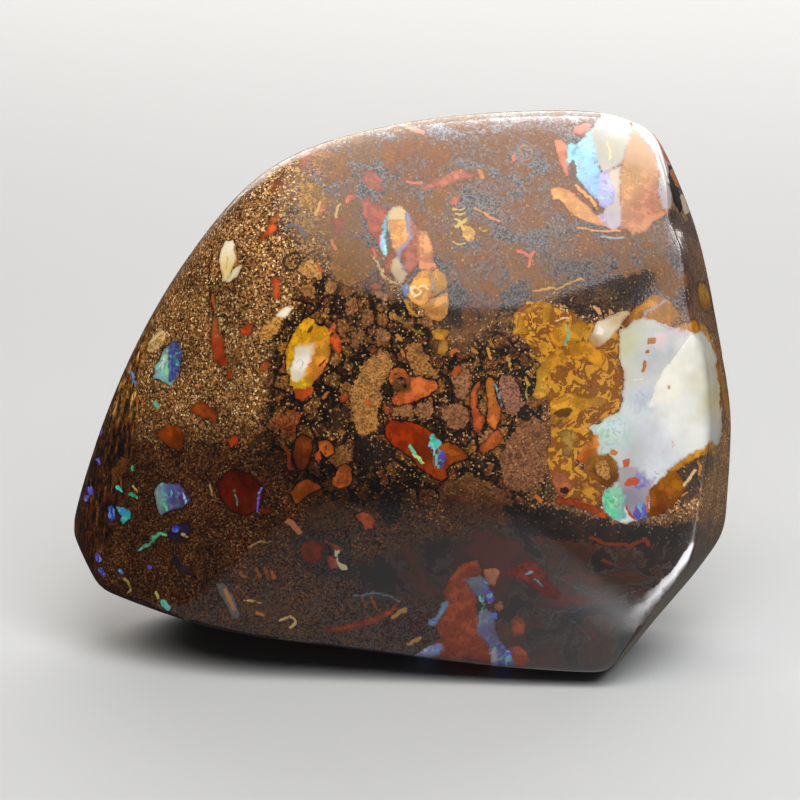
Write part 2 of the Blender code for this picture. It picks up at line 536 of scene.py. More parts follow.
# painted highlight: a white line where a facet edge catches the light
patch("fleck", "692,336 682,347 676,356 662,376 656,386 652,397", "#ffffff", width=1.2)
# a fainter painted highlight along a second facet edge
patch("fleck", "632,379 645,380 657,386", "#f0f2f6", width=1.2)
patch("piece", "655,334 665,334 668,345 660,350 652,345", "#ecd4d4@660,340 #e2dade@662,348")
patch("piece", "663,326 672,332 684,337 690,334 680,331", "#d8ccdc")
patch("fleck", "646,338 655,338 655,345 646,345", "#bd7018")
patch("fleck", "645,350 649,350 649,353 645,353", "#a8640f")
patch("fleck", "644,359 648,360 646,368 643,374 641,372 643,365", "#bd7018")
patch("fleck", "668,384 670,384 670,389 668,389", "#c08030")
patch("fleck", "671,440 674,445 672,448", "#c0883a", width=1.5)
patch("fleck", "610,451 615,449 619,452 617,456 611,455", "#cf7424")
patch("fleck", "622,460 628,459 630,463 628,468 622,468", "#c65a1e")
patch("fleck", "656,471 658,473", "#b06a24", width=2)
patch("fleck", "624,483 629,478 635,476 639,479 637,485 630,487 625,486", "#cb5420")
patch("piece", "617,470 625,468 640,470 650,478 655,478 650,490 648,500 640,508 630,512 622,500 "
      "618,488", "#b4aeb4@625,474 #a8a2ac@645,480 #9a94a6@628,500 #b8b0c4@650,478")
patch("piece", "636,474 647,474 650,482 645,490 636,489 633,482", "#8a72c0@640,484 #a898d0@645,476")
patch("piece", "640,503 646,504 648,512 642,519 635,520 634,514 637,507",
      "#6a58b4@640,512 #4a5ac0@638,518")
patch("piece", "603,495 606,490 612,487 618,485 622,495 624,508 626,518 620,521 612,518 606,512 "
      "603,505", "#9ad8b8@612,490 #58c89a@608,500 #9adcb0@618,505 #6ad0a8@614,514")
patch("fleck", "607,500 612,505", "#b8f070", width=2)
patch("fleck", "610,508 617,513", "#40e0a0", width=2)
patch("fleck", "613,496 616,500", "#d8f0a0", width=1.5)
patch("fleck", "626,502 628,508 633,513 636,518 634,520 629,514 626,508", "#b03c18")
patch("fleck", "648,497 646,506 649,513", "#c86820", width=2.5)

# %% [markdown]
# ## Ochre, glassy brown and sandy white, left of the white opal
#
# Here yellow ochre opal has grown between small pieces of ironstone, so a closed net of both
# lies over the sandstone. The bed gives the outline, and the finish adds the net later.

# %% Patches of the ochre net
OCHRE_NET = (
    "516,312 527,302 540,301 552,305 560,310 572,313 577,320 590,324 600,320 610,335 621,330 620,345 "
    "622,364 625,380 622,394 624,400 618,412 604,419 590,428 593,432 596,438 590,442 582,452 575,462 "
    "580,470 590,478 600,485 602,498 600,505 590,506 575,505 565,500 556,490 550,478 548,462 551,440 "
    "551,420 548,400 545,380 540,360 530,345 520,335 515,325"
)
patch("bed", OCHRE_NET, "#8a5012@560,340 #94560f@590,380 #7a4410@560,430 #6a3a12@580,480", rim=0.5)
patch("piece", "550,333 556,328 563,323 572,325 580,320 588,326 588,331 582,338 574,342 566,344 "
      "560,347 552,343", "#d19327@570,332 #c8861c@555,340")
patch("piece", "570,345 585,342 592,343 596,350 604,350 606,360 600,368 595,363 585,358 575,360 "
      "570,352", "#cf8c20")
patch("piece", "552,352 562,350 568,358 566,365 558,364 550,372 545,380 547,388 546,396 540,398 "
      "534,396 537,385 538,372 543,362", "#c98a24@555,358 #d8a038@542,388")
patch("piece", "550,402 560,398 566,394 572,393 580,398 592,399 600,398 606,402 598,406 588,408 "
      "580,412 572,418 563,424 570,412 560,410 551,414", "#d6982a@560,402 #d09024@595,402")
patch("piece", "519,314 522,318 525,327 529,331 522,332 514,333 517,326", "#d0922c")
patch("piece", "525,311 531,307 538,301 542,301 541,305 535,308 529,313", "#c88c2c")
patch("piece", "542,303 551,303 552,308 550,316 545,322 541,316 543,309", "#cc9028")
patch("fleck", "552,414 560,409 570,407 573,409 568,416 560,418", "#5a3c18")
patch("fleck", "572,391 582,393 593,393 598,395 590,399 580,398", "#8a5416")
patch("fleck", "573,432 582,434 590,442 580,440", "#7a4a14")
patch("fleck", "565,326 568,333 567,342 565,345", "#3ac0ac", width=2.2)
patch("piece", "590,338 594,330 599,322 607,319 613,316 620,313 626,311 628,314 622,320 620,326 "
      "614,331 610,338 604,343 598,345 592,342", "#f0e4cc@600,330 #d8bc94@620,315 #b8905a@594,340")
patch("fleck", "600,325 605,329 602,335 597,333", "#fbf4e2")
patch("fleck", "593,306 597,309 600,313", "#d8a070", width=3)
patch("fleck", "609,311 612,313", "#c89060", width=3)
patch("fleck", "556,322 561,320 565,318 568,319", "#f0c8a0", width=2)
patch("piece", "596,436 598,444 597,452 599,458 594,463 588,465 582,463 577,458 582,450 587,443",
      "#d07c30@592,446 #c86a24@586,459")
patch("piece", ring(603, 470, 13), "#a8702a@603,458 #7a4814@603,484", width=6)
patch("bed", "593,462 603,458 613,463 616,472 610,481 600,483 592,476", "#b07a34")
patch("piece", "559,434 566,430 574,432 577,440 571,448 564,443", "#a8843a")
patch("piece", "563,448 569,446 573,452 569,458 563,455", "#a87c44")
patch("piece", "553,475 560,472 566,476 572,482 572,487 568,492 565,496 560,494 556,488 553,482",
      "#b86e48@563,482 #a05638@560,492")
patch("fleck", "560,488 566,487 570,490 566,494 560,493", "#2a170e")
patch("piece", "560,500 575,503 590,508 606,515", "#a04222@565,501 #b04a1c@600,513", width=5, rim=0.4)
patch("fleck", "537,497 541,501", "#cf6c2c", width=4)
patch("fleck", "526,376 529,384", "#d09a38", width=3)
patch("fleck", "507,356 509,365", "#c89038", width=3)
patch("fleck", "488,348 490,359", "#c89038", width=3)
patch("fleck", "531,353 537,358 545,361", "#c08c38", width=2.5)
patch("fleck", "534,291 550,288 557,288 565,285 573,282 577,279 583,280", "#c8923c", width=2)
patch("fleck", "528,382 526,392 528,400", "#9aa060", width=1.5)

# %% [markdown]
# ## The banded piece above the centre
#
# A limb of wood that turned to opal: brick red at its edge, cream and orange inside, with a
# thread of blue-green play of colour between them.

# %% Patches of the upper centre
DULLED = (0.68, 0.85, 0.8)
patch("piece", "364,177 366,172 370,171 376,174 380,178 383,182 377,182 380,186 385,188 379,190 "
      "372,188 366,184", "#c8603c", tone=DULLED)
patch("piece", "363,202 366,197 371,196 370,200 378,202 381,208 386,208 387,212 384,222 381,232 "
      "382,240 382,250 379,244 376,238 373,236 370,228 367,220 363,212",
      "#c85a38@368,205 #c4502e@378,235", tone=DULLED)
patch("fleck", "371,242 374,247 378,256 376,257 372,250", "#c4532e")
patch("piece", "388,212 393,207 400,206 405,210 407,216 407,221 388,221", "#dcbc88")
patch("piece", "388,221 407,220 408,228 409,236 404,244 397,252 393,246 390,236 388,228",
      "#e6a048@398,226 #dc9448@399,245")
patch("piece", "388,215 386,222 384,232 385,242 387,252 385,256 382,250 382,232 384,222",
      "#62c4d4@386,225 #8adcec@384,245")
patch("fleck", "386,246 386,254", "#a8f0f8", width=2.5)
patch("piece", "408,215 410,230 412,240 400,250 398,262 402,268", "#8f8aa0", width=3.5)
patch("piece", "388,254 393,252 397,256 393,260 390,265 388,274 385,272 385,265 386,258",
      "#c4562c", tone=DULLED)
patch("piece", "391,268 393,260 397,257 400,262 401,270 406,274 402,281 397,280 393,275",
      "#c8ae84@398,264 #b8a07c@398,276")
patch("fleck", "374,257 377,262 381,271 385,276 392,282 400,284", "#c8a468", width=2)
patch("piece", "404,254 408,247 412,241 415,239 418,245 418,255 416,264 411,271 406,272 404,262",
      "#c8603a@412,248 #c05c44@409,266", tone=DULLED)
patch("piece", "411,221 415,224 419,231 420,240 418,240 414,235 412,228", "#d4744e", tone=DULLED)
patch("piece", "420,231 427,232 430,242 432,250 434,262 436,268 428,269 420,268 418,256 419,242",
      "#d08c4c@424,238 #c87c48@428,262")
patch("piece", "414,280 418,274 424,271 430,270 431,280 430,290 433,297 428,298 430,306 427,310 "
      "420,305 412,300 408,296 409,288", "#d89428@422,275 #c88a34@420,300")
patch("fleck", ring(415, 291, 4.5), "#e6cf98", width=2.5)
patch("fleck", "420,286 425,284 428,289", "#e8d4a0", width=1.8)
patch("piece", "433,271 439,269 444,274 448,282 446,288 440,291 435,294 434,282", "#d89a3c")
patch("piece", "430,300 440,296 447,292 447,303 447,312 440,320 432,320 427,315",
      "#d09440@440,298 #b87c3c@436,314")
patch("fleck", "431,271 433,282 432,290", "#8c8c98", width=2)
patch("piece", "433,331 438,328 446,330 449,333 444,340 436,338", "#c88a30", rim=0.4)
patch("piece", "440,342 447,340 449,348 444,356 438,352", "#a07430", rim=0.4)
patch("piece", "402,285 407,283 408,290 405,296 401,290", "#6078a8")
patch("fleck", "405,300 410,310 418,316", "#b88428", width=3)
patch("fleck", "398,318 408,326 416,332 424,334", "#7c6424", width=2.5)
patch("piece", "423,190 429,184 438,180 447,176 454,171 462,170 468,174 474,175 470,178 462,178 "
      "456,180 450,183 444,187 438,186 430,187", "#cf6444@430,187 #d86e48@458,174", tone=DULLED)
patch("fleck", "407,181 422,183", "#cc6a4a", width=3)
patch("piece", "477,170 482,171 485,176 481,178", "#dc8c40")
patch("piece", "451,203 454,197 458,195 458,200 455,205", "#cc6844")
patch("fleck", "453,209 459,210 464,208", "#c4a848", width=2)
patch("fleck", "454,214 460,215 466,213", "#c4a848", width=2)
patch("fleck", "455,220 461,223 467,220", "#ccb04c", width=2.5)
patch("fleck", "456,227 460,225", "#ccb04c", width=3)
patch("piece", "462,226 470,226 474,233 473,240 468,240 463,236", "#d8a444")
patch("fleck", "453,242 459,245 466,242", "#c4a848", width=2)
patch("fleck", "474,208 480,211 488,214", "#d8963c", width=2)
patch("fleck", "486,214 492,218 500,222", "#cf7c44", width=2.5)
patch("fleck", "479,228 484,231 488,229", "#c09034", width=2)
patch("fleck", "517,251 524,252 530,258 528,266", "#cf6440", width=3)
patch("fleck", "530,258 534,252", "#cf6440", width=3)
patch("fleck", ring(527, 153, 11), "#6c6a70", width=2)
patch("fleck", ring(526, 153, 7), "#a8784e@526,147 #9a6c4a@530,160", width=2)
patch("fleck", "513,155 515,160", "#cf6a48", width=3)

# %% [markdown]
# ## Red jasper and seeds on the left
#
# The left half is golden sandstone, with splinters of red jasper, a cream crystal, a honey opal
# with a white heart, and small lenses of blue and green precious opal.

# %% Patches of the left side
patch("piece", "223,275 221,266 220,256 222,248 226,242 232,241 235,246 236,256 234,264 230,272 "
      "226,279 222,281", "#fff0c0@228,255 #fadf98@229,268 #fff6dc@230,246", rim=0.6)
patch("fleck", "235,246 237,256 235,264 232,270", "#b87426", width=1.8)
patch("fleck", "226,247 228,258 226,268", "#e8b85c", width=1.2)
patch("piece", "224,281 229,277 234,270 240,266 239,270 234,277 229,281", "#f2e6c8", rim=0.3)
patch("piece", "260,241 265,233 270,224 272,222 276,226 276,229 270,234 264,238",
      "#d45c24@270,228 #c4511f@264,236", rim=0.5)
patch("piece", "271,219 277,214 279,216 276,221", "#b8602c")
patch("piece", "211,300 212,293 214,297 215,305 214,309 211,306", "#cc7238", rim=0.4)
patch("piece", "213,322 216,318 218,330 222,340 223,352 226,362 226,366 221,366 216,358 213,348 "
      "212,338", "#cc6a34@216,325 #c24e20@219,350 #a8401c@224,363", rim=0.5)
patch("piece", "228,370 231,372 231,378 228,377", "#b8481e", rim=0.4)
patch("fleck", "212,255 210,268 209,285 211,300 213,318", "#3a2016", width=2)
patch("piece", "242,330 245,326 250,325 251,329 248,334 243,334", "#c44a1c", rim=0.5)
patch("piece", "272,279 277,278 279,285 278,291 279,298 275,298 273,290", "#c8542a", rim=0.4)
patch("bed", "263,330 270,322 276,316 284,319 281,326 274,333 266,340 260,338", "#c08840")
patch("piece", "276,316 281,310 287,307 291,308 288,313 286,319 281,318", "#f6ecd2")
patch("piece", "305,320 309,318 314,320 316,324 319,328 324,326 328,330 329,338 330,350 328,360 "
      "324,368 320,376 314,382 308,386 302,388 296,388 290,385 291,376 288,372 286,362 286,352 "
      "290,342 293,334 299,326",
      "#d6941e@300,332 #d09018@292,355 #cf8a1c@312,330 #d08438@322,350 #cc7434@318,370 #d8a02c@298,384",
      rim=0.8, tone=(1.12, 1.25, 0.7))
patch("fleck", "306,334 308,330 313,325 315,328 310,334", "#5a2c10")
patch("fleck", "325,360 319,366", "#5a2410", width=2)
patch("piece", "297,349 302,346 307,345 308,350 308,358 306,366 303,374 299,380 294,382 292,378 "
      "292,368 294,358", "#f6f0e4@300,362 #e8dcc4@303,350 #d8d0b4@296,376")
patch("fleck", "296,362 300,358 303,362 300,368", "#c8bca0", width=1.5)
patch("fleck", "290,362 289,372", "#4a8aa8", width=1.5)
patch("piece", "331,336 334,332 338,336 341,344 341,350 338,354 335,348 334,342 331,342",
      "#c8541e@337,342 #b8481c@339,352", rim=0.5)
patch("piece", "327,330 331,326 334,322 336,325 332,330", "#c86434")
patch("piece", "294,390 302,390 306,387 313,387 311,392 306,396 302,400 297,397", "#c4541f", rim=0.8)
patch("piece", "260,368 264,364 269,362 270,365 265,369 261,370", "#b85c2c", rim=0.4)
patch("piece", "370,285 376,283 382,284 381,288 374,289", "#b0642c", rim=0.5)
patch("piece", "274,161 280,157 288,158 290,162 284,164 277,163", "#d86c3c", tone=DULLED)
patch("piece", "302,152 308,150 311,153 308,162 304,170 302,165", "#d8785a", tone=DULLED)
patch("piece", "332,220 336,218 342,219 344,224 341,230 338,235 334,233 335,226 332,223",
      "#c4582e", rim=0.3, tone=DULLED)
patch("piece", "316,213 320,206 325,202 324,209 320,214", "#c46c40")
patch("piece", "345,200 348,196 354,195 356,199 351,200 346,203", "#c46a44")
patch("fleck", "333,240 336,250", "#c0703c", width=3)
patch("fleck", "340,203 337,210 336,216", "#c89a50", width=3)
patch("fleck", "320,202 316,214", "#c89a50", width=3)
patch("fleck", "318,262 321,270", "#c05c30", width=3)
patch("fleck", "272,192 276,184 282,183", "#7a3e1c", width=4)
patch("fleck", "284,170 280,182", "#5a3018", width=2.5)
patch("fleck", "284,228 291,224 300,228 306,236", "#5c6470", width=3)
patch("fleck", ring(292, 262, 8), "#3a2a24", width=3)
patch("piece", "154,377 157,372 155,366 159,362 162,354 166,349 171,343 176,341 179,344 181,352 "
      "181,362 179,371 174,379 169,385 165,383 160,379",
      "#8fd4d0@160,370 #b8f0dc@164,358 #5c74a8@171,352 #46508c@177,362 #3c4480@178,350", rim=0.7)
patch("piece", "170,345 176,341 179,344 181,352 181,362 179,371 174,379 170,384 168,365",
      "#4a5a9c@172,360 #3a3f7c@179,360")
patch("fleck", "167,350 166,362 166,374", "#a8e88a", width=2)
patch("fleck", "158,368 163,360 162,372", "#e8fff0", width=1.8)
patch("fleck", "165,383 169,385 173,380", "#70d8b8", width=1.5)
# the tone is partly painted shade: the piece is darkened with the low part of the stone
patch("piece", "190,408 196,403 203,402 207,405 208,408 212,409 217,414 216,420 213,421 209,417 "
      "203,418 197,415 192,411", "#cc7420@198,407 #b86420@212,416", rim=0.6, tone=(0.5, 0.33, 0.4))
# the tone is partly painted shade: the piece is darkened with the low part of the stone
patch("piece", "159,431 164,428 167,421 169,426 175,426 181,430 184,436 182,444 179,449 173,446 "
      "167,444 161,440", "#cc6c10@168,432 #a85a14@178,442", rim=0.6, tone=(0.5, 0.35, 0.4))
patch("fleck", "131,372 134,376", "#4f9cff", width=3)
patch("fleck", "133,380 136,384", "#4f90f0", width=2.5)
patch("fleck", "100,430 101,433", "#7a62f8", width=4)
patch("fleck", "98,460 99,463", "#6a58e0", width=3)
patch("fleck", "90,488 90,493", "#6a5aff", width=4)
patch("fleck", "87,497 86,500", "#7a50e0", width=4)
patch("bed", "148,350 152,338 160,330 166,332 164,342 156,352", "#d9b070")
patch("bed", "112,476 116,462 124,454 132,458 128,470 118,480", "#c08a42")
patch("fleck", "150,342 156,336 163,332", "#f0d8a0", width=2.5)
patch("fleck", "118,487 122,490", "#3fe0d0", width=3)
patch("fleck", "129,494 136,498", "#2ab070", width=3)
patch("fleck", "132,486 136,491", "#d8a860", width=2)
patch("fleck", "154,403 158,407", "#68c0a8", width=4)
patch("fleck", "133,467 134,470", "#20c080", width=2.5)
patch("piece", "156,500 155,495 158,485 161,483 166,484 173,484 180,486 184,492 189,500 187,503 "
      "181,507 174,509 169,510 166,512 161,514 157,508",
      "#7f9c8a@159,497 #6c90a0@164,490 #4a3a88@172,496 #3a2460@180,498 #54509c@170,490", rim=0.7)
patch("fleck", "162,484 163,492 165,502", "#4aa8d0", width=1.8)
patch("fleck", "162,500 165,506 167,510", "#35e090", width=2.5)
# a painted glint: a pale blue-white streak at the right edge of the lower opal
patch("fleck", "183,494 184,499 186,503", "#d0e0f8", width=1.5)
patch("piece", "109,508 113,506 114,512 114,520 111,521 108,516", "#2a3cc0", rim=0.6)
patch("piece", "117,507 122,508 128,511 132,514 129,519 125,520 123,523 120,520 121,515 118,511",
      "#3a94c8@122,511 #22c0a8@124,520", rim=0.6)
patch("fleck", "138,550 148,545 156,538", "#4a9a70", width=2.5)
patch("fleck", "152,538 160,532 166,534", "#4ac090", width=2.5)
patch("piece", "165,535 172,528 180,524 190,525 190,533 184,539 174,541", "#241f34", rim=0.3)
patch("fleck", "171,527 176,525 180,528 177,531 172,530", "#3c38d0")
patch("fleck", "181,533 187,537", "#c89a68", width=2)
patch("piece", "175,560 180,566 186,572", "#2c2830", width=6)
patch("fleck", "97,555 99,559", "#5a40d0", width=5)
patch("fleck", "101,571 103,574", "#5048c0", width=4)
patch("fleck", "119,570 122,574", "#3a78e0", width=3)
patch("fleck", "148,567 150,568", "#5048c0", width=3)
patch("fleck", "163,602 168,608", "#58d8b8", width=5)
patch("fleck", "156,592 159,598", "#b8b860", width=2.5)
patch("fleck", "125,578 132,590 128,594", "#a8904c", width=2)

# %% [markdown]
# ## Broken pieces in the middle
#
# In the middle, the ironstone broke up before the opal came: sandy pieces, dark gaps, and
# jasper with a seam of precious opal.

# %% Patches of the middle
patch("bed", "500,380 503,375 510,374 514,378 518,383 522,392 523,402 520,410 513,414 506,412 501,405 "
      "499,395", "#8f604a", rim=1)
patch("bed", "533,335 538,331 544,332 545,342 544,350 539,355 534,350 532,342", "#84553a", rim=1)
patch("bed", "407,346 414,344 421,345 425,352 430,362 434,370 438,379 430,378 422,376 414,374 410,368 "
      "407,360 406,352", "#9c6833", rim=1)
patch("bed", "360,368 372,358 380,352 388,353 392,362 391,372 384,385 380,398 377,415 378,428 368,437 "
      "360,436 352,420 350,395", "#a8743c", rim=0.8)
patch("bed", "330,250 340,244 350,240 360,238 366,246 372,255 376,263 371,270 369,280 358,284 350,288 "
      "343,284 336,278 329,268", "#a8743c", rim=0.7)
patch("bed", "372,291 380,290 386,295 389,305 383,307 377,300", "#946a4c", rim=0.8)
patch("bed", "452,368 462,364 470,370 469,388 463,398 454,394 450,380", "#94633f", rim=0.9)
patch("bed", "440,408 452,404 466,406 470,416 464,428 452,430 444,422", "#8a5a3a", rim=0.9)
patch("bed", "416,404 426,400 434,404 434,414 424,419 416,413", "#8f5f3c", rim=0.9)
patch("bed", "396,408 410,404 416,412 412,420 400,418 392,414", "#94623a", rim=0.9)
patch("bed", "520,425 535,418 546,424 549,440 547,465 540,485 525,492 508,488 500,470 504,448 510,434",
      "#855636", rim=0.5)
patch("bed", "440,485 460,478 485,480 505,492 520,510 505,525 480,530 455,522 440,505",
      "#774a28", rim=0.3)
patch("bed", "300,262 308,260 318,262 323,270 318,278 306,278 299,271", "#b88444", rim=0.5)
patch("bed", "325,282 334,280 337,288 333,296 325,294", "#a06c38", rim=0.9)
patch("bed", "300,286 310,284 317,290 314,298 303,298", "#94622e", rim=0.9)
patch("bed", "321,309 328,307 331,313 327,319 321,316", "#a46c34", rim=0.9)
patch("bed", "348,300 356,298 360,308 354,316 347,312", "#8c5a32", rim=0.9)
patch("bed", "362,312 370,308 375,316 370,328 362,324", "#80502e", rim=0.9)
patch("bed", "338,318 345,316 350,326 347,338 340,336 336,326", "#8c5a30", rim=0.9)
patch("bed", "352,330 362,330 366,340 360,350 352,346", "#7c5030", rim=0.9)
patch("bed", "376,328 386,326 390,336 384,346 376,342", "#8a5c34", rim=0.9)
patch("piece", "412,378 420,377 428,381 436,383 437,388 430,392 422,397 415,400 408,401 400,405 "
      "395,404 392,398 398,394 404,391 410,386", "#cc6a34@425,386 #c05c2c@402,399", rim=0.8)
patch("piece", ring(402, 382, 8), "#a85c2c@402,374 #6c4824@402,390", width=3, rim=0.7)
patch("bed", ring(402, 382, 4), "#7c5a3c")
patch("piece", "391,380 392,372 398,369 403,371", "#cc7034", width=3, rim=0.5)
# the tone is partly painted shade: the piece is darkened with the low part of the stone
patch("piece", "384,430 387,423 393,421 399,422 401,424 406,422 414,424 422,427 428,430 432,433 "
      "438,437 440,440 443,446 449,443 456,446 462,451 467,455 464,458 456,461 450,465 444,470 "
      "446,477 442,480 436,477 428,473 420,468 414,460 406,453 398,447 390,440 386,434",
      "#bc3c12@405,432 #a83a14@425,450 #c06028@455,452 #b8461a@440,474", rim=1, tone=(0.6, 0.6, 0.4))
patch("fleck", "431,432 434,434 436,438 440,440 442,444 438,448 434,450 432,448 427,446 430,440",
      "#30b0a8@434,438 #48d0c0@437,445")
patch("fleck", "434,450 436,458 437,466", "#48d8b8", width=2)
patch("fleck", "438,449 444,451 446,455 444,460 443,466 439,468 437,460",
      "#5a48a8@441,455 #3a2f78@441,464")
patch("fleck", "409,446 412,450 415,453", "#58d8a0", width=3)
patch("fleck", "414,455 418,457 423,462", "#b0f068", width=3.5)
patch("fleck", "427,435 430,446 433,462 434,470", "#4a1408", width=1.2)
patch("fleck", "386,438 391,440 389,433", "#4a1a0c", width=1.5)
patch("piece", "487,380 490,377 494,381 494,390 496,400 499,408 499,420 496,428 490,424 487,420 "
      "488,410 487,395", "#cc7c30@490,385 #c46a30@495,420", rim=0.7)
patch("piece", "472,392 475,386 479,382 480,386 476,393 476,404 479,412 483,418 482,427 478,432 "
      "474,428 474,415 472,405", "#c4642e@476,390 #b85428@479,425", rim=0.7)
patch("bed", "480,397 486,395 488,404 487,416 483,420 479,410", "#8a5c34", rim=0.6)
patch("fleck", "495,384 499,394 501,405", "#5a80b8", width=1.8)
patch("piece", "480,447 486,442 492,434 498,430 502,437 497,444 490,449 484,454 481,450",
      "#c0602e", rim=0.6)
patch("bed", "478,432 488,428 494,432 488,440 480,444", "#a0683c", rim=0.5)
patch("piece", "452,372 455,368 460,365 462,368 458,373 455,377", "#c4602c", rim=0.6)
patch("fleck", "452,355 456,349", "#c4602c", width=3)
patch("fleck", "402,350 404,356", "#c06a34", width=3)
patch("fleck", "397,334 401,340", "#b87c34", width=3)
patch("fleck", "472,350 477,353", "#b07838", width=3)
patch("fleck", "384,404 387,412 390,420", "#a0481c", width=2.5)
patch("fleck", "365,398 370,404", "#c85c24", width=2.5)

# %% [markdown]
# ## The lower part
#
# Lower down, jasper stands out from the dark stone: an oval on the left, seeds and a leaf in
# the middle, and a large flame that runs over the bottom edge, with a violet seam beside it.
# Most of these pieces carry a tone that is partly painted shade, as the stone is darkened
# towards the bottom.

# %% Patches of the lower part
# the tone is partly painted shade: the piece is darkened with the low part of the stone
patch("piece", "219,482 224,476 232,472 242,472 250,476 257,482 262,489 262,497 259,505 252,512 "
      "243,514 234,510 226,504 220,496",
      "#a03416@225,485 #8a2c12@245,485 #b04420@250,505", rim=1, tone=(0.28, 0.2, 0.25))
patch("fleck", ring(233, 483, 7), "#4a180c", width=2)
patch("fleck", "233,490 236,498 238,506", "#4a7c70", width=1.5)
patch("fleck", "262,488 258,494 258,503 258,512", "#5858d8", width=2)
patch("piece", "262,510 268,509 272,512 264,514", "#7a3418", rim=0.3)
patch("fleck", "209,484 213,494", "#b08858", width=2)
patch("piece", "228,440 234,436 238,439 237,444 231,446", "#b04018", rim=0.6)
# the tone is partly painted shade: the piece is darkened with the low part of the stone
patch("piece", "296,440 303,436 310,438 311,450 307,462 303,470 298,466 295,455",
      "#a04c20@303,440 #7a3414@302,462", rim=1, tone=(0.5, 0.5, 0.5))
patch("piece", "319,442 326,440 333,446 332,452 326,456 321,450", "#b05a20", rim=1)
patch("fleck", "326,442 325,454", "#3a180c", width=1.5)
patch("piece", "315,456 319,452 321,457 318,462", "#a84820", rim=0.8)
patch("fleck", "285,448 290,456 289,468", "#6a2c12", width=4)
# the tone is partly painted shade: the piece is darkened with the low part of the stone
patch("piece", "292,492 297,485 305,481 314,482 320,486 315,490 308,494 302,499 295,503 293,498",
      "#a85a20@300,490 #96481c@313,485", rim=1, tone=(0.6, 0.5, 0.5))
patch("piece", ring(343, 477, 8), "#a05424", width=3, rim=0.9)
patch("piece", ring(343, 477, 3), "#8a4820", width=3)
patch("bed", "270,420 280,412 295,410 305,412 298,424 290,436 284,432 275,428", "#984c24", rim=0.2)
patch("piece", "340,396 346,392 349,396 345,401 341,401", "#b05028", rim=0.6)
patch("fleck", "323,399 328,393", "#b06430", width=3)
patch("piece", "355,515 362,512 370,514 374,520 372,527 366,530 362,524", "#96482c", rim=0.9)
patch("bed", "330,448 342,445 352,450 352,466 340,472 330,464", "#946230", rim=0.6)
patch("bed", "306,505 320,500 335,502 350,512 352,524 340,532 322,530 308,520", "#80603c", rim=0.6)
patch("bed", "355,440 372,436 390,442 396,456 388,466 370,468 357,456", "#231710", rim=0.3)
patch("bed", "380,492 394,488 402,500 398,520 386,526 378,510", "#1d1410", rim=0.3)
patch("bed", "365,480 376,476 380,486 372,492", "#1d1410")
patch("bed", "330,410 345,404 352,412 345,430 332,428", "#3a2212", rim=0.3)
patch("bed", "290,535 310,528 330,532 350,548 356,570 348,582 325,578 302,566", "#4c4640", rim=0.4)
# the tone is partly painted shade: the piece is darkened with the low part of the stone
patch("piece", "302,545 310,543 318,542 324,546 322,553 318,560 312,563 305,560 301,553",
      "#a05030@306,548 #8f452c@318,556", tone=(0.5, 0.45, 0.5))
patch("piece", "326,541 334,545 340,548 343,551 338,552 332,547", "#9a4c34")
patch("piece", "328,556 334,557 339,562 338,567 332,568 328,563", "#9a4c38")
patch("fleck", "288,520 293,524 300,533", "#a86848", width=5)
patch("fleck", "334,550 341,550 338,555 338,561 346,564 348,569 341,570 337,564 335,556", "#c8bf98")
patch("fleck", "257,570 260,577", "#8c4c30", width=3)
patch("fleck", "265,568 268,578", "#8c4c30", width=3)
patch("fleck", "272,572 275,579", "#a05434", width=3)
patch("fleck", "247,548 258,542 270,543", "#a07c50", width=2)
patch("fleck", "240,573 246,577", "#8a5a40", width=3)
patch("bed", "238,600 262,598 285,606 302,616 298,628 270,622 245,612", "#9a7844")
patch("fleck", "280,620 290,616 296,622 290,627", "#d8b880", width=2.5)
patch("fleck", "255,612 262,616", "#b87c40", width=3)
patch("fleck", "244,600 262,603", "#d8b068", width=1.5)
patch("piece", "320,632 335,628 350,624 365,620 378,615 388,609 398,603 396,608 386,616 372,624 "
      "355,628 338,632", "#8a4028@340,630 #9c4a30@385,612")
patch("bed", "352,598 368,592 385,592 402,600 415,610 400,606 380,600 362,604", "#5a6a72")
patch("fleck", "355,596 372,593 388,596 402,602", "#6c7c84", width=2)
patch("fleck", "362,596 366,606", "#8a4c34", width=2.5)
patch("fleck", "371,597 376,608", "#8a4c34", width=2.5)
patch("bed", "340,640 356,640 372,643 368,650 348,647", "#a88458")
patch("piece", "217,584 221,583 227,588 232,595 235,603 238,612 240,618 235,618 230,612 226,603 "
      "221,595 218,589", "#6e6864", rim=0.6)
patch("fleck", "224,590 229,598 234,610", "#b4764e", width=4)
patch("bed", "385,615 405,610 425,612 438,625 436,650 410,650 388,640 380,628", "#6a301a", rim=0.3)
# the tone is partly painted shade: the piece is darkened with the low part of the stone
patch("piece", "447,585 451,577 456,571 462,565 468,562 476,560 479,567 480,573 470,576 466,580 "
      "469,590 474,596 479,600 475,607 476,615 480,622 478,630 480,638 486,644 490,652 493,670 "
      "480,668 465,666 452,664 443,659 434,651 432,648 437,642 443,640 440,633 437,626 442,618 "
      "446,610 447,600 445,592",
      "#a85a40@465,568 #b8654a@458,590 #b4603f@460,620 #a45236@462,660", rim=0.3, tone=(0.75, 0.6, 0.5))
patch("piece", "466,580 472,577 481,577 486,582 489,588 487,594 483,598 478,596 473,593 470,586",
      "#7a7c8e@472,580 #6a6c88@480,592")
patch("piece", "484,571 492,569 499,571 497,580 494,586 490,584 486,578", "#b87858")
patch("piece", "486,590 491,590 494,598 491,604 487,600", "#6c58c8")
patch("piece", "494,606 500,600 504,606 500,612", "#a86a50")
patch("fleck", "480,597 482,601", "#70d8d0", width=2.5)
patch("fleck", "482,582 488,585", "#5070c8", width=2)
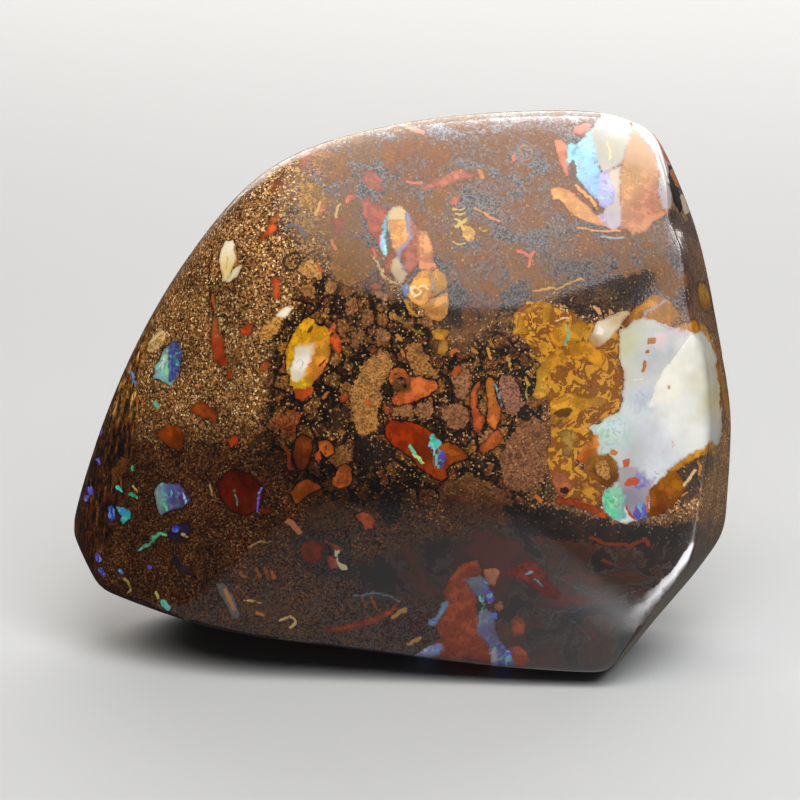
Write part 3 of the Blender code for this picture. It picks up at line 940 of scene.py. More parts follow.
patch("piece", "479,612 486,610 492,613 495,620 495,632 500,642 508,650 514,658 514,672 505,672 "
      "498,666 493,650 484,640 478,632 480,622",
      "#7c7898@484,616 #6a6488@490,632 #5a5a90@500,652 #7c80b0@508,668")
patch("fleck", "484,598 482,612 480,628", "#58b0a8", width=1.8)
patch("fleck", "491,613 497,613 497,618 492,618", "#4f80d8")
patch("fleck", "505,651 509,651 511,657 507,658", "#6a50ff")
patch("piece", "491,650 495,650 499,670 493,672", "#b4aec4")
patch("fleck", "500,664 502,670", "#6a50e0", width=3)
patch("fleck", "484,603 490,606 488,611", "#5a3420", width=2.5)
patch("piece", "510,647 518,647 526,652 528,660 524,668 515,670 513,656", "#a85438")
patch("piece", "511,620 518,616 524,622 522,634 514,636", "#94503a")
patch("bed", "496,622 506,620 512,630 506,640 498,636", "#9c7040")
patch("piece", "443,603 447,602 446,608 441,614 437,622 434,626 429,625 429,621 436,619", "#7a9cc8")
patch("piece", "413,657 420,652 430,646 440,643 442,648 436,655 428,659",
      "#a8acd8@420,655 #8288c0@438,647")
patch("fleck", "392,618 399,612 405,610", "#b8884c", width=4)
patch("fleck", "407,645 414,641 421,639", "#b8884c", width=3)
# the tone is partly painted shade: the piece is darkened with the low part of the stone
patch("piece", "508,574 514,568 520,563 526,561 534,563 541,568 545,574 548,582 555,588 560,594 "
      "556,598 548,596 541,594 535,590 530,585 524,580 516,577",
      "#9c4a38@525,568 #8a4232@545,590", tone=(0.6, 0.5, 0.5))
patch("fleck", "525,575 531,570 534,571 533,574", "#4ab8a8")
patch("fleck", "535,580 541,585", "#5a8088", width=2.5)
patch("fleck", "560,600 580,598 596,597", "#6a3a2c", width=3)
patch("fleck", "590,538 610,544 630,545 646,540 648,546", "#7a3420", width=3.5)
patch("fleck", "602,560 612,563", "#6a3224", width=3)
patch("fleck", "555,575 580,590 610,600 640,590", "#4c5860", width=1.5)
patch("fleck", "540,610 570,612 600,600 630,602", "#4c5860", width=1.5)
patch("fleck", "545,630 555,612 575,622 590,640", "#4c5860", width=1.5)

# %% [markdown]
# ## Smooth brown pieces under the top light
#
# In the upper third, the ironstone has no sand: smooth tan and brown pieces lie in dark stone.

# %% Patches of the upper part
patch("bed", "455,258 462,250 475,248 490,249 500,252 500,265 503,275 497,285 500,300 498,315 492,328 "
      "484,324 478,310 470,290 462,282 456,272", "#8a5a34@475,262 #805030@488,310")
patch("bed", "465,300 474,304 478,318 474,334 466,336 462,320", "#80502e")
patch("bed", "425,192 440,190 448,195 446,205 443,215 436,216 428,212 424,203", "#a8743c")
patch("bed", "414,211 424,214 428,222 422,228 415,222", "#9c6034")
patch("bed", "430,216 442,220 446,232 438,238 430,228", "#86563a")
patch("bed", "500,200 518,196 535,204 536,220 524,235 508,232 498,216", "#7c5036")
patch("bed", "548,240 570,232 592,236 600,250 585,262 560,260 548,252", "#8a5c40")
patch("bed", "384,142 410,138 440,140 452,152 446,168 430,176 408,180 390,172 382,156",
      "#a87450@400,150 #a06a44@430,165")
patch("bed", "450,138 480,132 505,134 515,146 505,160 480,164 458,158", "#906648")
patch("bed", "310,152 330,150 345,158 342,172 326,180 312,170", "#a87c58")
patch("bed", "350,138 372,136 380,150 372,164 354,160", "#a88464")
patch("bed", "470,180 500,176 520,186 510,196 485,196 472,190", "#845a40")
patch("bed", "340,180 356,184 360,210 362,232 350,236 340,220", "#94683c")
patch("bed", "320,225 340,236 348,238 334,248 322,240", "#94682f")
patch("bed", "300,180 322,186 330,200 318,216 300,206", "#a07840")
patch("bed", "298,210 312,218 318,235 304,246 296,232", "#8a683c")
patch("bed", "540,205 560,215 580,228 560,232 542,222", "#765040")
patch("bed", "520,135 540,132 552,140 548,150 530,146", "#96705a")
patch("fleck", "402,125 424,132", "#c07c5c", width=4)
patch("fleck", "613,267 617,269", "#1a100c", width=3)
patch("fleck", "484,246 485,248", "#1a100c", width=2)
patch("fleck", "351,175 352,177", "#1a100c", width=2)
patch("fleck", "607,242 609,243", "#c07a50", width=2)
patch("bed", "554,281 580,282 600,290 620,286 640,296 636,306 615,312 600,316 585,318 572,310 556,302",
      "#2a1c14")
patch("bed", "500,505 520,504 560,508 610,522 650,526 690,522 700,536 670,548 620,546 560,540 520,532",
      "#171009")

# %% [markdown]
# ## The edge of the stone on the right
#
# A crack with honey crystals and a purple-brown crust run down the right edge.

# %% Patches of the right edge
patch("piece", "669,165 672,172 676,182 680,196 682,208 679,214 676,204 672,192 669,180", "#241712")
patch("fleck", "672,172 675,178 677,184", "#cc7434", width=4)
patch("fleck", "682,196 685,206 687,212", "#e4d0b0", width=4)
patch("fleck", "684,214 687,219", "#a08040", width=3)
patch("bed", "676,218 690,216 700,250 712,300 716,335 700,325 688,318 684,280 680,245",
      "#5a3430@690,250 #4a2c28@700,310")
patch("bed", "688,330 700,215 716,260 728,330 724,342 712,330", "#6a4a34")
patch("piece", "698,287 700,283 704,284 707,290 710,300 711,308 707,311 703,306 700,298",
      "#d09a3c@703,290 #b07c34@708,305", rim=0.6)
patch("fleck", "722,380 726,400 728,416", "#c08428", width=4)
patch("bed", "676,470 690,456 708,450 716,456 706,478 694,500 680,506", "#3c2818")
patch("fleck", "684,484 690,478 694,470", "#e8c48c", width=3)
patch("fleck", "696,458 700,466 699,474", "#c88c3c", width=3)
patch("fleck", "682,496 688,492", "#c8944c", width=2)

# %% [markdown]
# ## The sides that the photograph doesn't show
#
# The same stone goes on round the back, the ends and the top. Its patches there are our own:
# jasper, honey opal, potch and a few precious lenses, as many and as large as in front. A seeded
# generator draws rough ovals and splinters, so the stone is the same on every run.

# %% Patches of the other sides
chance = np.random.default_rng(7)


def lump(x, y, size, stretch, tilt, corners=11):
    """A rough oval outline: its middle, its half width in pixels, how long it is and its tilt."""
    turns = np.linspace(0, 2 * math.pi, corners, endpoint=False) + chance.uniform(-0.2, 0.2, corners)
    reach = size * chance.uniform(0.72, 1.15, corners)
    along, beside = reach * np.cos(turns) * stretch, reach * np.sin(turns)
    c, s = math.cos(math.radians(tilt)), math.sin(math.radians(tilt))
    return " ".join(f"{x + a * c - b * s:.1f},{y + a * s + b * c:.1f}" for a, b in zip(along, beside))


JASPER = ["#b0401a", "#c05a28", "#a83c1a", "#b8502a", "#96401f"]
HONEY = ["#c88420", "#d09a34", "#b8701c", "#c48a3a"]
POTCH = ["#e8e2d2", "#d8d4d8", "#c6ccd6", "#e6cfa6"]
PRECIOUS = ["#4a60b0", "#3aa8a8", "#5a48a8", "#58c8a0"]
SANDSTONE = ["#8f603a", "#7a4c2e", "#a4743e", "#6a4430"]

for bearing, rise, left, right, top, bottom in [
    (180, 15, 230, 600, 190, 560),
    (-92, 20, 290, 520, 250, 560),
    (95, 10, 300, 500, 230, 480),
    (180, 70, 240, 580, 330, 470),
]:
    area = (right - left) * (bottom - top)
    for kind, colours, share, size, stretch, rim in [
        ("bed", SANDSTONE, 3000, (8, 22), (1.0, 2.0), 0.8),
        ("piece", JASPER, 7000, (3, 12), (1.2, 3.0), 0.7),
        ("piece", HONEY, 12000, (4, 14), (1.0, 2.2), 0.7),
        ("piece", POTCH, 40000, (7, 16), (1.0, 1.8), 0.5),
        ("fleck", PRECIOUS, 14000, (2, 6), (1.0, 2.6), 0.0),
    ]:
        for _ in range(max(1, area // share)):
            x, y = chance.uniform(left, right), chance.uniform(top, bottom)
            shape = chance.uniform(*size), chance.uniform(*stretch), chance.uniform(40, 140)
            outline = lump(x, y, *shape)
            patch(kind, outline, str(chance.choice(colours)), rim=rim, seen=(bearing, rise))
patch("piece", "415,330 440,322 470,330 482,352 476,380 450,392 424,384 408,360",
      "#e6e2d6@440,345 #ccd4de@465,370 #efe6cc@425,372", rim=0.4, seen=(180, 15))
patch("piece", "395,345 410,330 414,362 424,386 412,392 398,374", "#c88a24", rim=0.5, seen=(180, 15))
patch("fleck", "468,380 474,368 478,352", "#5ac0b0", width=3, seen=(180, 15))
print("patches:", len(PATCHES))

# %% [markdown]
# ## Kinds of ground
#
# Under the patches, the rock itself changes from place to place: golden wood fibre at the left
# edge, broken sandstone in a dark cement in the middle, smooth ironstone above, and smoky dark
# stone below. The rest is plain sandstone. Each ground is a soft outline. One more outline, over
# the low part of the front and of the back, is no rock: it is painted shade, which darkens the
# rock towards the bottom, where the light from above falls off.

# %% Outlines of the grounds
patch("bark", "60,600 64,540 84,450 108,370 140,310 165,268 174,272 158,310 146,345 140,380 137,420 "
      "134,460 122,505 108,545 92,585 76,605", "#ffffff")
patch("breccia", "262,420 272,330 300,295 318,262 372,282 405,290 450,342 500,328 545,345 552,500 "
      "520,508 480,498 400,512 340,505 290,485 268,455", "#ffffff")
patch("smooth", "318,160 350,140 420,118 520,100 640,95 700,170 700,320 640,312 560,290 520,318 "
      "470,345 440,345 430,300 380,268 372,285 340,290 322,245 326,200", "#ffffff")
patch("smoky", "340,570 400,545 470,530 520,512 600,515 710,522 710,560 660,640 612,680 520,680 "
      "500,640 440,600 380,600", "#ffffff")
patch("ochre", OCHRE_NET, "#ffffff")
# painted shade: the low part of the front is darkened, where the light from above falls off
patch("deep", "60,400 150,425 230,425 300,425 350,465 430,485 520,500 620,528 700,525 760,560 700,720 "
      "60,700", "#ffffff")
for kind, seen, x, y, size, stretch, tilt in [
    ("breccia", (180, 15), 400, 330, 85, 1.5, 40), ("breccia", (180, 15), 300, 460, 70, 1.6, 20),
    ("breccia", (180, 15), 540, 470, 75, 1.5, 50), ("breccia", (95, 10), 400, 400, 60, 1.5, 40),
    ("breccia", (-92, 20), 400, 360, 60, 1.5, 40), ("breccia", (180, 70), 420, 400, 60, 1.5, 40),
    ("smooth", (180, 15), 500, 250, 80, 1.7, 15), ("smooth", (180, 15), 240, 330, 55, 1.6, 80),
    ("smooth", (95, 10), 430, 300, 62, 1.5, 20), ("smooth", (180, 70), 470, 380, 62, 1.5, 20),
    ("smoky", (180, 15), 430, 580, 60, 3.0, 2), ("smoky", (180, 15), 190, 500, 45, 1.8, 70),
    ("ochre", (180, 15), 450, 360, 52, 1.4, 20), ("ochre", (180, 15), 280, 400, 30, 1.6, 60),
    ("bark", (-92, 20), 330, 420, 50, 2.2, 70), ("bark", (180, 15), 600, 400, 40, 2.4, 75),
]:
    patch(kind, lump(x, y, size, stretch, tilt), "#ffffff", seen=seen)
# painted shade again, low on the back
patch("deep", "40,500 250,470 450,500 760,460 760,740 40,740", "#ffffff", seen=(180, 15))

# %% [markdown]
# ## Measuring every point of the surface against the patches
#
# Each point of the mesh is looked at from the camera that its patches were read from. Its
# distance to an outline, negative inside, is kept on the point, with the patch's colour. A
# distance blends well between points, so the finish can draw a crisp edge from it. A little
# noise in the positions turns straight pencil lines into the uneven edges of real inclusions.
# A patch that reaches the outline of the stone runs on round the edge for a few millimetres.

# %% Distances and colours on the points
PAINTED = ("bed", "piece", "fleck")
# the last of the grounds is no rock but painted shade towards the bottom
GROUNDS = ("bark", "breccia", "smooth", "smoky", "ochre", "deep")
FAR = 4.0  # mm, the largest distance that a point keeps
OVERLAP = 0.12  # mm, so that no gap opens between two pieces that share an edge
WOBBLES = ((2.2 * MM, 1.8), (0.75 * MM, 1.2))  # length of each noise, and its swing in pixels
PAST_EDGE = 0.05  # how far a patch runs on round the edge, then how fast it stops
EDGE_FALL = 9
PHOTO_MARGIN = 0.12  # the same for the patches of the other sides, where the photo's begin
PHOTO_FALL = 30
GROUND_REACH = 40  # pixels beyond an outline that its distance is still worked out for
PATCH_REACH = 16
BLEND_CORE = 6  # the larger, the softer the shades of a patch blend into each other
BLEND_POWER = 1.5

noise.seed_set(7)  # the clock would shift noise_vector on every run otherwise


def line_distance(spots, path, closed):
    """Each spot's distance to a path, in pixels."""
    nearest = np.full(len(spots), 1e9)
    ends = np.roll(path, -1, axis=0) if closed else path[1:]
    for a, b in zip(path, ends):
        along = np.clip((spots - a) @ (b - a) / max((b - a) @ (b - a), 1e-9), 0, 1)
        nearest = np.minimum(nearest, np.linalg.norm(spots - a - along[:, None] * (b - a), axis=1))
    return nearest


def inside(spots, path):
    """Whether each spot is inside a closed outline."""
    x, y = spots.T
    crossings = np.zeros(len(spots), bool)
    for (ax, ay), (bx, by) in zip(path, np.roll(path, -1, axis=0)):
        if ay != by:
            crossings ^= ((ay > y) != (by > y)) & (x < (bx - ax) * (y - ay) / (by - ay) + ax)
    return crossings


def measure(piece):
    """For each kind of patch: every point's distance in mm, its colour and its rim."""
    places = points_of(piece.data)
    wobble = sum(
        np.array([noise.noise_vector(p) for p in places / length])[:, :2] * swing
        for length, swing in WOBBLES
    )
    found = {
        kind: [np.full(len(places), FAR), np.zeros((len(places), 3)), np.zeros(len(places))]
        for kind in PAINTED + GROUNDS
    }
    sights = {}
    in_photo = towards_camera(piece)[2]
    for kind, path, colours, spots, width, rim, seen in PATCHES:
        if seen not in sights:
            x, y, squarely = towards_camera(piece, *seen)
            turned = np.maximum(0, -PAST_EDGE - squarely) * EDGE_FALL
            if seen != (0, CAMERA_RISE):
                turned += np.maximum(0, in_photo + PHOTO_MARGIN) * PHOTO_FALL
            sights[seen] = np.stack((x, y), axis=1) + wobble, turned
        at, turned = sights[seen]
        reach = GROUND_REACH if kind in GROUNDS else PATCH_REACH
        near = np.all((at > path.min(0) - reach) & (at < path.max(0) + reach), axis=1)
        index = np.nonzero(near & (turned < FAR))[0]
        if not len(index):
            continue
        away = line_distance(at[index], path, not width)
        away = away - width / 2 if width else np.where(inside(at[index], path), -away, away)
        away = away * PIXEL_SIZE / MM + turned[index] - (OVERLAP if kind == "piece" else 0)
        distance, colour, dark = found[kind]
        take = (away < 0) | (away < distance[index])
        taken = index[take]
        share = 1 / (np.sum((at[taken][:, None] - spots) ** 2, axis=2) + BLEND_CORE) ** BLEND_POWER
        colour[taken] = share @ colours / share.sum(axis=1)[:, None]
        dark[taken] = rim
        distance[index] = np.minimum(distance[index], away)
    return found


# %% [markdown]
# ## A finer mesh along the outlines
#
# The edges of the patches need more points than the plain rock between them. So only the faces
# that an outline passes are divided, twice, and the new points slide to the polished surface
# again. That keeps the whole stone under 200,000 triangles.


# %% Divide the faces along the outlines
def divide(piece, within, kinds):
    """Divides the faces that are within this distance of an outline, in mm, once."""
    found = measure(piece)
    closest = np.min([np.abs(found[kind][0]) for kind in kinds], axis=0)
    corners = np.empty(len(piece.data.loops), np.int32)
    piece.data.loops.foreach_get("vertex_index", corners)
    starts = np.empty(len(piece.data.polygons), np.int32)
    piece.data.polygons.foreach_get("loop_start", starts)
    for parts in (piece.data.vertices, piece.data.edges):
        parts.foreach_set("select", np.zeros(len(parts), bool))
    piece.data.polygons.foreach_set("select", np.minimum.reduceat(closest[corners], starts) < within)
    bpy.context.tool_settings.mesh_select_mode = (False, False, True)
    bpy.ops.object.mode_set(mode="EDIT")
    bpy.ops.mesh.subdivide(number_cuts=1, ngon=False)
    bpy.ops.object.mode_set(mode="OBJECT")
    polish(piece)
    print("divided:", len(piece.data.vertices), "points")


divide(stone, 0.5, PAINTED)
divide(stone, 0.22, ("piece", "fleck"))

bpy.ops.object.mode_set(mode="EDIT")
bpy.ops.mesh.select_all(action="SELECT")
bpy.ops.mesh.bisect(
    plane_co=(0, 0, 0), plane_no=(0, 0, -1), use_fill=True, clear_outer=True, threshold=1e-6
)
bpy.ops.object.mode_set(mode="OBJECT")
bpy.ops.object.shade_smooth_by_angle(angle=math.radians(35))
stone.data.calc_loop_triangles()
print("stone:", len(stone.data.loop_triangles), "triangles")

# %% [markdown]
# ## Writing the patches on the points
#
# The distances, colours and rims become attributes of the mesh, which the finish reads.

# %% Attributes
for kind, (distance, colour, dark) in measure(stone).items():
    edge = stone.data.attributes.new(f"{kind}_edge", "FLOAT", "POINT")
    edge.data.foreach_set("value", distance)
    if kind in PAINTED:
        paint = stone.data.attributes.new(f"{kind}_colour", "FLOAT_COLOR", "POINT")
        paint.data.foreach_set("color", np.column_stack((colour, np.ones(len(colour)))).ravel())
    if kind in ("bed", "piece"):
        rim = stone.data.attributes.new(f"{kind}_rim", "FLOAT", "POINT")
        rim.data.foreach_set("value", dark)
print("attributes:", [a.name for a in stone.data.attributes if "_" in a.name])

# %% [markdown]
# ## The finish: polished boulder opal
#
# Sandstone cemented by iron oxide, cut and polished until it looks wet. The grains are about
# 0.25 mm: each has its own brown, and a few pale quartz grains among them carry painted golden
# glints. All patterns are three-dimensional, in millimetres, as the stone's own are, so they run
# on through every edge.

# %% The finish, and short names for the nodes that repeat
finish = bpy.data.materials.new("polished_boulder_opal")
finish.use_nodes = True
tree = finish.node_tree
shader = tree.nodes["Principled BSDF"]


def mix(share, first, second):
    """Two colours mixed: a share of 0 gives the first, and 1 the second."""
    return add(tree, "Mix", share, first, second)


def tint(share, first, second):
    """The first colour, multiplied by a share of the second."""
    return add(tree, "Mix", share, first, second, blend_type="MULTIPLY")


def ramp(value, *levels):
    """A value mapped smoothly from one span, 0 to 1 if none is given, to another."""
    return add(tree, "MapRange", value, *levels)


def maths(operation, *values):
    """A calculation with one to three values."""
    return add(tree, "Math", *values, operation=operation)


def attribute(name, out):
    """One of the mesh's own attributes, as a colour or as a value."""
    return add(tree, "Attribute", attribute_name=name, out=out)


# %% Grain and clouds
place = add(tree, "TexCoord", out="Object")
mm = add(tree, "VectorMath", place, (1000, 1000, 1000), operation="MULTIPLY")
cells = add(tree, "TexVoronoi", mm, Scale=1 / 0.24, out="Color")
grain, quartz_glint, hue = add(tree, "SeparateColor", cells).node.outputs
cloud = add(tree, "TexNoise", mm, Scale=1 / 6, Detail=3.0, Roughness=0.55)
patchy = add(tree, "TexNoise", mm, Scale=1 / 1.8, Detail=3.0, Roughness=0.6)
fine = add(tree, "TexNoise", mm, Scale=1 / 0.45, Detail=1.5)
fine_tooth = maths("SUBTRACT", fine, 0.5)
coarse_tooth = maths("SUBTRACT", patchy, 0.5)
swirl = add(tree, "TexNoise", mm, Scale=1 / 3.2, Detail=2.0, out="Color")
bent = add(tree, "VectorMath", swirl, (3.4, 3.4, 3.4), mm, operation="MULTIPLY_ADD")
grit = ramp(grain, 0.0, 1.0, 0.5, 1.55)
soft_grit = ramp(grain, 0.0, 1.0, 0.85, 1.15)

# %% [markdown]
# ### Plain sandstone
#
# Dark brown cement, mid-brown grains, tan grains, and a few pale quartz grains painted bright
# gold as glints. Rusty and golden clouds a few millimetres wide lie over it.

# %% Sandstone
sand = mix(ramp(grain, 0.05, 0.6), "#301b0c", "#85572c")
sand = mix(ramp(grain, 0.62, 1.0), sand, "#d09c60")
# painted glints: a few pale quartz grains brightened to a pale gold
sand = mix(ramp(quartz_glint, 0.9, 0.98, 0.0, 0.95), sand, "#ffe4ac")
sand = tint(1.0, sand, ramp(cloud, 0.32, 0.68, 0.68, 1.25))
sand = mix(ramp(patchy, 0.56, 0.72, 0.0, 0.45), sand, "#2e1a0c")
sand = mix(ramp(patchy, 0.42, 0.3, 0.0, 0.35), sand, "#a87840")

# %% [markdown]
# ### Broken sandstone in dark cement
#
# Angular shards of 1 to 3 mm. Each has its own brown, from dark to golden, and some are rusty.
# Thin black seams part them, black cement fills the wider gaps, and here and there a thread of
# ochre opal runs through.

# %% Breccia
shifted = add(tree, "VectorMath", swirl, (1.5, 1.5, 1.5), mm, operation="MULTIPLY_ADD")
shard = add(tree, "TexVoronoi", shifted, Scale=1 / 2.3, out="Color")
shard_shade, shard_tint, _ = add(tree, "SeparateColor", shard).node.outputs
seam = add(tree, "TexVoronoi", shifted, Scale=1 / 2.3, feature="DISTANCE_TO_EDGE")
hair_seam = add(tree, "TexVoronoi", bent, Scale=1 / 1.3, feature="DISTANCE_TO_EDGE")
seam = maths("MULTIPLY_ADD", fine_tooth, 0.2, seam)
hair_seam = maths("MULTIPLY_ADD", fine_tooth, 0.2, hair_seam)
broken = mix(ramp(shard_shade, 0.15, 0.85), "#38200f", "#8c5a28")
broken = mix(ramp(shard_tint, 0.6, 0.75, 0.0, 0.65), broken, "#6c3820")
broken = tint(1.0, broken, grit)
broken = mix(ramp(hair_seam, 0.07, 0.02, 0.0, 0.65), broken, "#1a100a")
broken = mix(ramp(patchy, 0.53, 0.6, 0.0, 0.8), broken, "#150d08")
broken = mix(ramp(seam, 0.13, 0.05, 0.0, 0.95), broken, "#0e0906")
# painted glints on quartz grains in the shards
broken = mix(ramp(quartz_glint, 0.9, 0.98, 0.0, 0.7), broken, "#d8a868")

# %% [markdown]
# ### Smooth ironstone, smoky stone, fibre and ochre
#
# Smooth ironstone has hardly any sand: brown islands with gnawed edges and faint bands, like an
# agate's, lie in a grey-black ground. Smoky stone is almost black, with drawn-out clouds of
# rust. The wood fibre at the left edge is drawn out along the trunk; its palest gold streaks are
# its own golden colour, painted brighter with a sheen. Ochre and glassy brown form a closed net.

# %% The other grounds
islands = add(tree, "TexNoise", bent, Scale=1 / 6, Detail=4.0, Roughness=0.62)
islands = maths("MULTIPLY_ADD", fine_tooth, 0.16, islands)
bands = maths("SUBTRACT", maths("PINGPONG", islands, 0.05), 0.025)
bands = ramp(maths("ABSOLUTE", bands), 0.007, 0.002, 0.0, 0.3)
smooth = mix(ramp(islands, 0.45, 0.53), "#33261d", "#7c5430")
smooth = mix(ramp(cloud, 0.45, 0.6, 0.0, 0.5), smooth, "#4a3a2e")
smooth = mix(bands, smooth, "#5e5650")
smooth = tint(1.0, smooth, ramp(grain, 0.0, 1.0, 0.75, 1.25))
# painted glints on the few quartz grains
smooth = mix(ramp(quartz_glint, 0.955, 0.99, 0.0, 0.6), smooth, "#c89858")

smoke = add(tree, "TexNoise", bent, Scale=1 / 9, Detail=4.0, Roughness=0.6, Distortion=1.2)
smoky = mix(ramp(smoke, 0.36, 0.6), "#33241a", "#7c5030")
smoky = mix(ramp(smoke, 0.53, 0.64, 0.0, 0.75), smoky, "#a04c2a")
wisp = maths("ABSOLUTE", maths("SUBTRACT", smoke, 0.47))
smoky = mix(ramp(wisp, 0.03, 0.0, 0.0, 0.6), smoky, "#8a969e")

fibre_place = add(
    tree, "Mapping", mm, Rotation=(0.0, math.radians(32), math.radians(20)), Scale=(1.7, 1.3, 0.2)
)
fibre = add(tree, "TexNoise", fibre_place, Scale=1.0, Detail=3.0, Roughness=0.65, Distortion=0.6)
bark = mix(ramp(fibre, 0.4, 0.56), "#2a1508", "#a2661f")
# painted sheen: the palest gold streaks of the fibre, brighter than its own colour
bark = mix(ramp(fibre, 0.57, 0.66), bark, "#f0ca86")
bark = tint(0.8, bark, grit)
bark = mix(ramp(patchy, 0.5, 0.62, 0.0, 0.7), bark, "#27160b")

net = add(tree, "TexNoise", bent, Scale=1 / 1.5, Detail=2.5, Roughness=0.5, Distortion=0.8)
net_line = maths("ABSOLUTE", maths("SUBTRACT", net, 0.5))
ochre = mix(ramp(net, 0.485, 0.515), "#8a500e", "#d09022")
ochre = mix(ramp(net_line, 0.02, 0.008, 0.0, 0.7), ochre, "#40220a")
ochre = mix(ramp(cloud, 0.5, 0.62, 0.0, 0.7), ochre, "#6a380c")
ochre = mix(ramp(grain, 0.9, 1.0, 0.0, 0.5), ochre, "#e8b060")
thread = maths("MULTIPLY", ramp(net_line, 0.016, 0.006), ramp(cloud, 0.47, 0.4))
broken = mix(thread, broken, "#a87828")

# %% [markdown]
# ### Putting the grounds and patches together
#
# Each ground fades in over a millimetre or two. A piece has a crisp edge, which a fine noise
# makes a little ragged, and a bed has a gnawed one. Where the list says so, a dark rim of iron
# oxide lies around a patch. Inside, a piece is mottled, darker at its edge, and has small dark
# veins where it cracked and healed. Blue and green opal breaks into small fields of other
# colours: that is the play of colour of precious opal.

# %% Grounds and beds
away = {name: attribute(f"{name}_edge", "Fac") for name in PAINTED + GROUNDS}
share = {}
GROUND_SOFTNESS = {  # mm that each ground takes to fade in
    "breccia": 1.2,
    "smooth": 2.6,
    "smoky": 2.0,
    "bark": 0.9,
    "ochre": 0.15,
    # the painted shade at the bottom fades in slowly
    "deep": 5.0,
}
for name, soft in GROUND_SOFTNESS.items():
    ragged = maths("MULTIPLY_ADD", coarse_tooth, 1.5 + 2 * soft, away[name])
    share[name] = ramp(ragged, soft, -soft)

rock = mix(share["breccia"], sand, broken)
rock = mix(share["smooth"], rock, smooth)
rock = mix(share["smoky"], rock, smoky)
rock = mix(share["bark"], rock, bark)

even_ground = maths("MAXIMUM", share["smooth"], share["smoky"])
bed_away = maths("MULTIPLY_ADD", coarse_tooth, 2.2, away["bed"])
bed_away = maths("MULTIPLY_ADD", fine_tooth, 0.9, bed_away)
bed_paint = attribute("bed_colour", "Color")
bed = tint(1.0, bed_paint, mix(even_ground, grit, soft_grit))
# painted glints on quartz grains in the beds
bed = mix(ramp(quartz_glint, 0.93, 0.99, 0.0, 0.5), bed, "#e0b070")
bed = mix(ramp(patchy, 0.5, 0.66, 0.0, 0.5), bed, "#3a2416")
bed_rim = attribute("bed_rim", "Fac")
bed_rim = maths("MULTIPLY", bed_rim, ramp(bed_away, 0.5, 0.05, 0.0, 0.85))
rock = mix(bed_rim, rock, "#100a07")
bed_share = ramp(share["smooth"], 0.0, 1.0, 0.92, 0.45)
in_bed = maths("MULTIPLY", ramp(bed_away, 0.12, -0.12), bed_share)
rock = mix(in_bed, rock, bed)
rock = mix(share["ochre"], rock, ochre)
# painted shade: all rock inside the low outline is darkened, beds included, pieces and flecks not
rock = mix(share["deep"], rock, tint(1.0, rock, "#806a5c"))

# %% Pieces and flecks
piece_away = maths("MULTIPLY_ADD", fine_tooth, 0.34, away["piece"])
piece_rim = attribute("piece_rim", "Fac")
piece_rim = maths("MULTIPLY", piece_rim, ramp(piece_away, 0.42, 0.08))
rock = mix(piece_rim, rock, "#140b07")
piece = attribute("piece_colour", "Color")
piece = tint(1.0, piece, ramp(cloud, 0.3, 0.7, 0.86, 1.1))
strong = ramp(add(tree, "SeparateColor", piece, out=2), 0.16, 0.05)
piece = tint(strong, piece, ramp(patchy, 0.32, 0.68, 1.25, 0.62))
crack = ramp(maths("ABSOLUTE", coarse_tooth), 0.016, 0.004, 0.0, 0.5)
piece = mix(maths("MULTIPLY", crack, strong), piece, "#3a1508")
worn_edge = ramp(piece_away, -0.4, 0.0, 0.0, 0.4)
piece = tint(worn_edge, piece, "#b07c58")
in_piece = ramp(piece_away, 0.05, -0.05)
rock = mix(in_piece, rock, piece)
fleck_away = maths("MULTIPLY_ADD", fine_tooth, 0.3, away["fleck"])
in_fleck = ramp(fleck_away, 0.07, -0.07, 0.0, 0.94)
rock = mix(in_fleck, rock, attribute("fleck_colour", "Color"))
even = maths("MAXIMUM", in_piece, in_fleck)

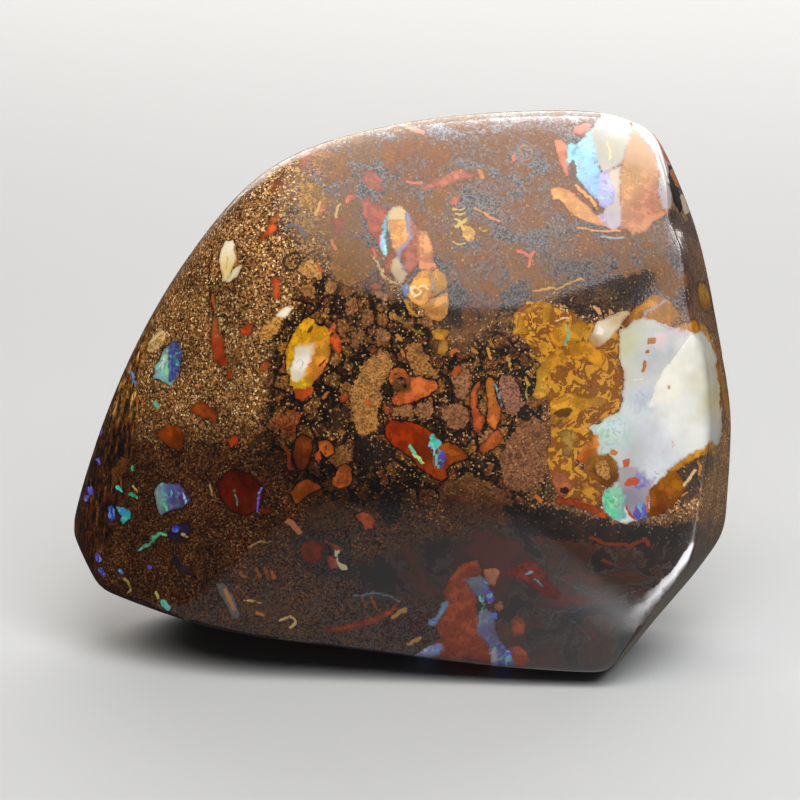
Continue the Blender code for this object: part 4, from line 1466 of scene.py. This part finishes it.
# %% Play of colour
red, green, blue = add(tree, "SeparateColor", rock).node.outputs
cool = maths("SUBTRACT", maths("MAXIMUM", green, blue), red)
cool = maths("MULTIPLY", ramp(cool, 0.05, 0.2, 0.0, 0.45), even)
fields = add(tree, "TexVoronoi", bent, Scale=1 / 0.55, out="Color")
field_hue, field_light, field_there = add(tree, "SeparateColor", fields).node.outputs
field_hue = ramp(field_hue, 0.0, 1.0, 0.36, 0.76)
play = add(tree, "CombineColor", field_hue, 0.7, ramp(field_light, 0.0, 1.0, 0.25, 1.0), mode="HSV")
cool = maths("MULTIPLY", cool, ramp(field_there, 0.35, 0.75))
rock = mix(cool, rock, play)

# %% [markdown]
# ### Gloss
#
# The dark cement is iron oxide, whose high IOR mirrors much more than quartz and opal do. So
# the coat is full on dark rock and thin on brown sand and on opal, and that is what draws a
# grey net in the reflection of the soft light. The sandy stone also takes a slightly uneven
# polish, because its grains stand at different heights by up to a hundredth of a millimetre.
# Opal is even, so it shines like glass.

# %% Gloss and the surface of the polish
GRAIN_RELIEF = 0.01 * MM

brightness = add(tree, "RGBToBW", rock)
mirror = ramp(brightness, 0.02, 0.13, 1.0, 0.12)
stipple = ramp(hue, 0.0, 1.0, 0.3, 1.0)
stipple = ramp(share["smoky"], 0.0, 1.0, stipple, 0.65)
mirror = maths("MULTIPLY", mirror, stipple)
mirror = ramp(even, 0.0, 1.0, mirror, 0.3)
micro = add(tree, "TexNoise", mm, Scale=1 / 0.35, Detail=1.5)
uneven = ramp(share["smoky"], 0.0, 1.0, 1.0, 0.3)
uneven = ramp(even, 0.0, 1.0, uneven, 0.1)
bump = add(tree, "Bump", Strength=uneven, Distance=GRAIN_RELIEF, Height=micro)
rough = ramp(even, 0.0, 1.0, 0.45, 0.25)
for slot, value in {
    "Base Color": rock, "Normal": bump, "Coat Normal": bump, "Coat Weight": mirror, "Roughness": rough
}.items():
    tree.links.new(value, shader.inputs[slot])
shader.inputs["IOR"].default_value = 1.5
shader.inputs["Specular IOR Level"].default_value = 0.2
shader.inputs["Coat Roughness"].default_value = 0.06
shader.inputs["Coat IOR"].default_value = 2.2
stone.data.materials.clear()
stone.data.materials.append(finish)
print("nodes in the finish:", len(tree.nodes))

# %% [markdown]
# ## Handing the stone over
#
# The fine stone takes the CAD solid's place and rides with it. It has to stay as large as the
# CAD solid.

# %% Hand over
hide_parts("opalized_wood")
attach(stone, "root")
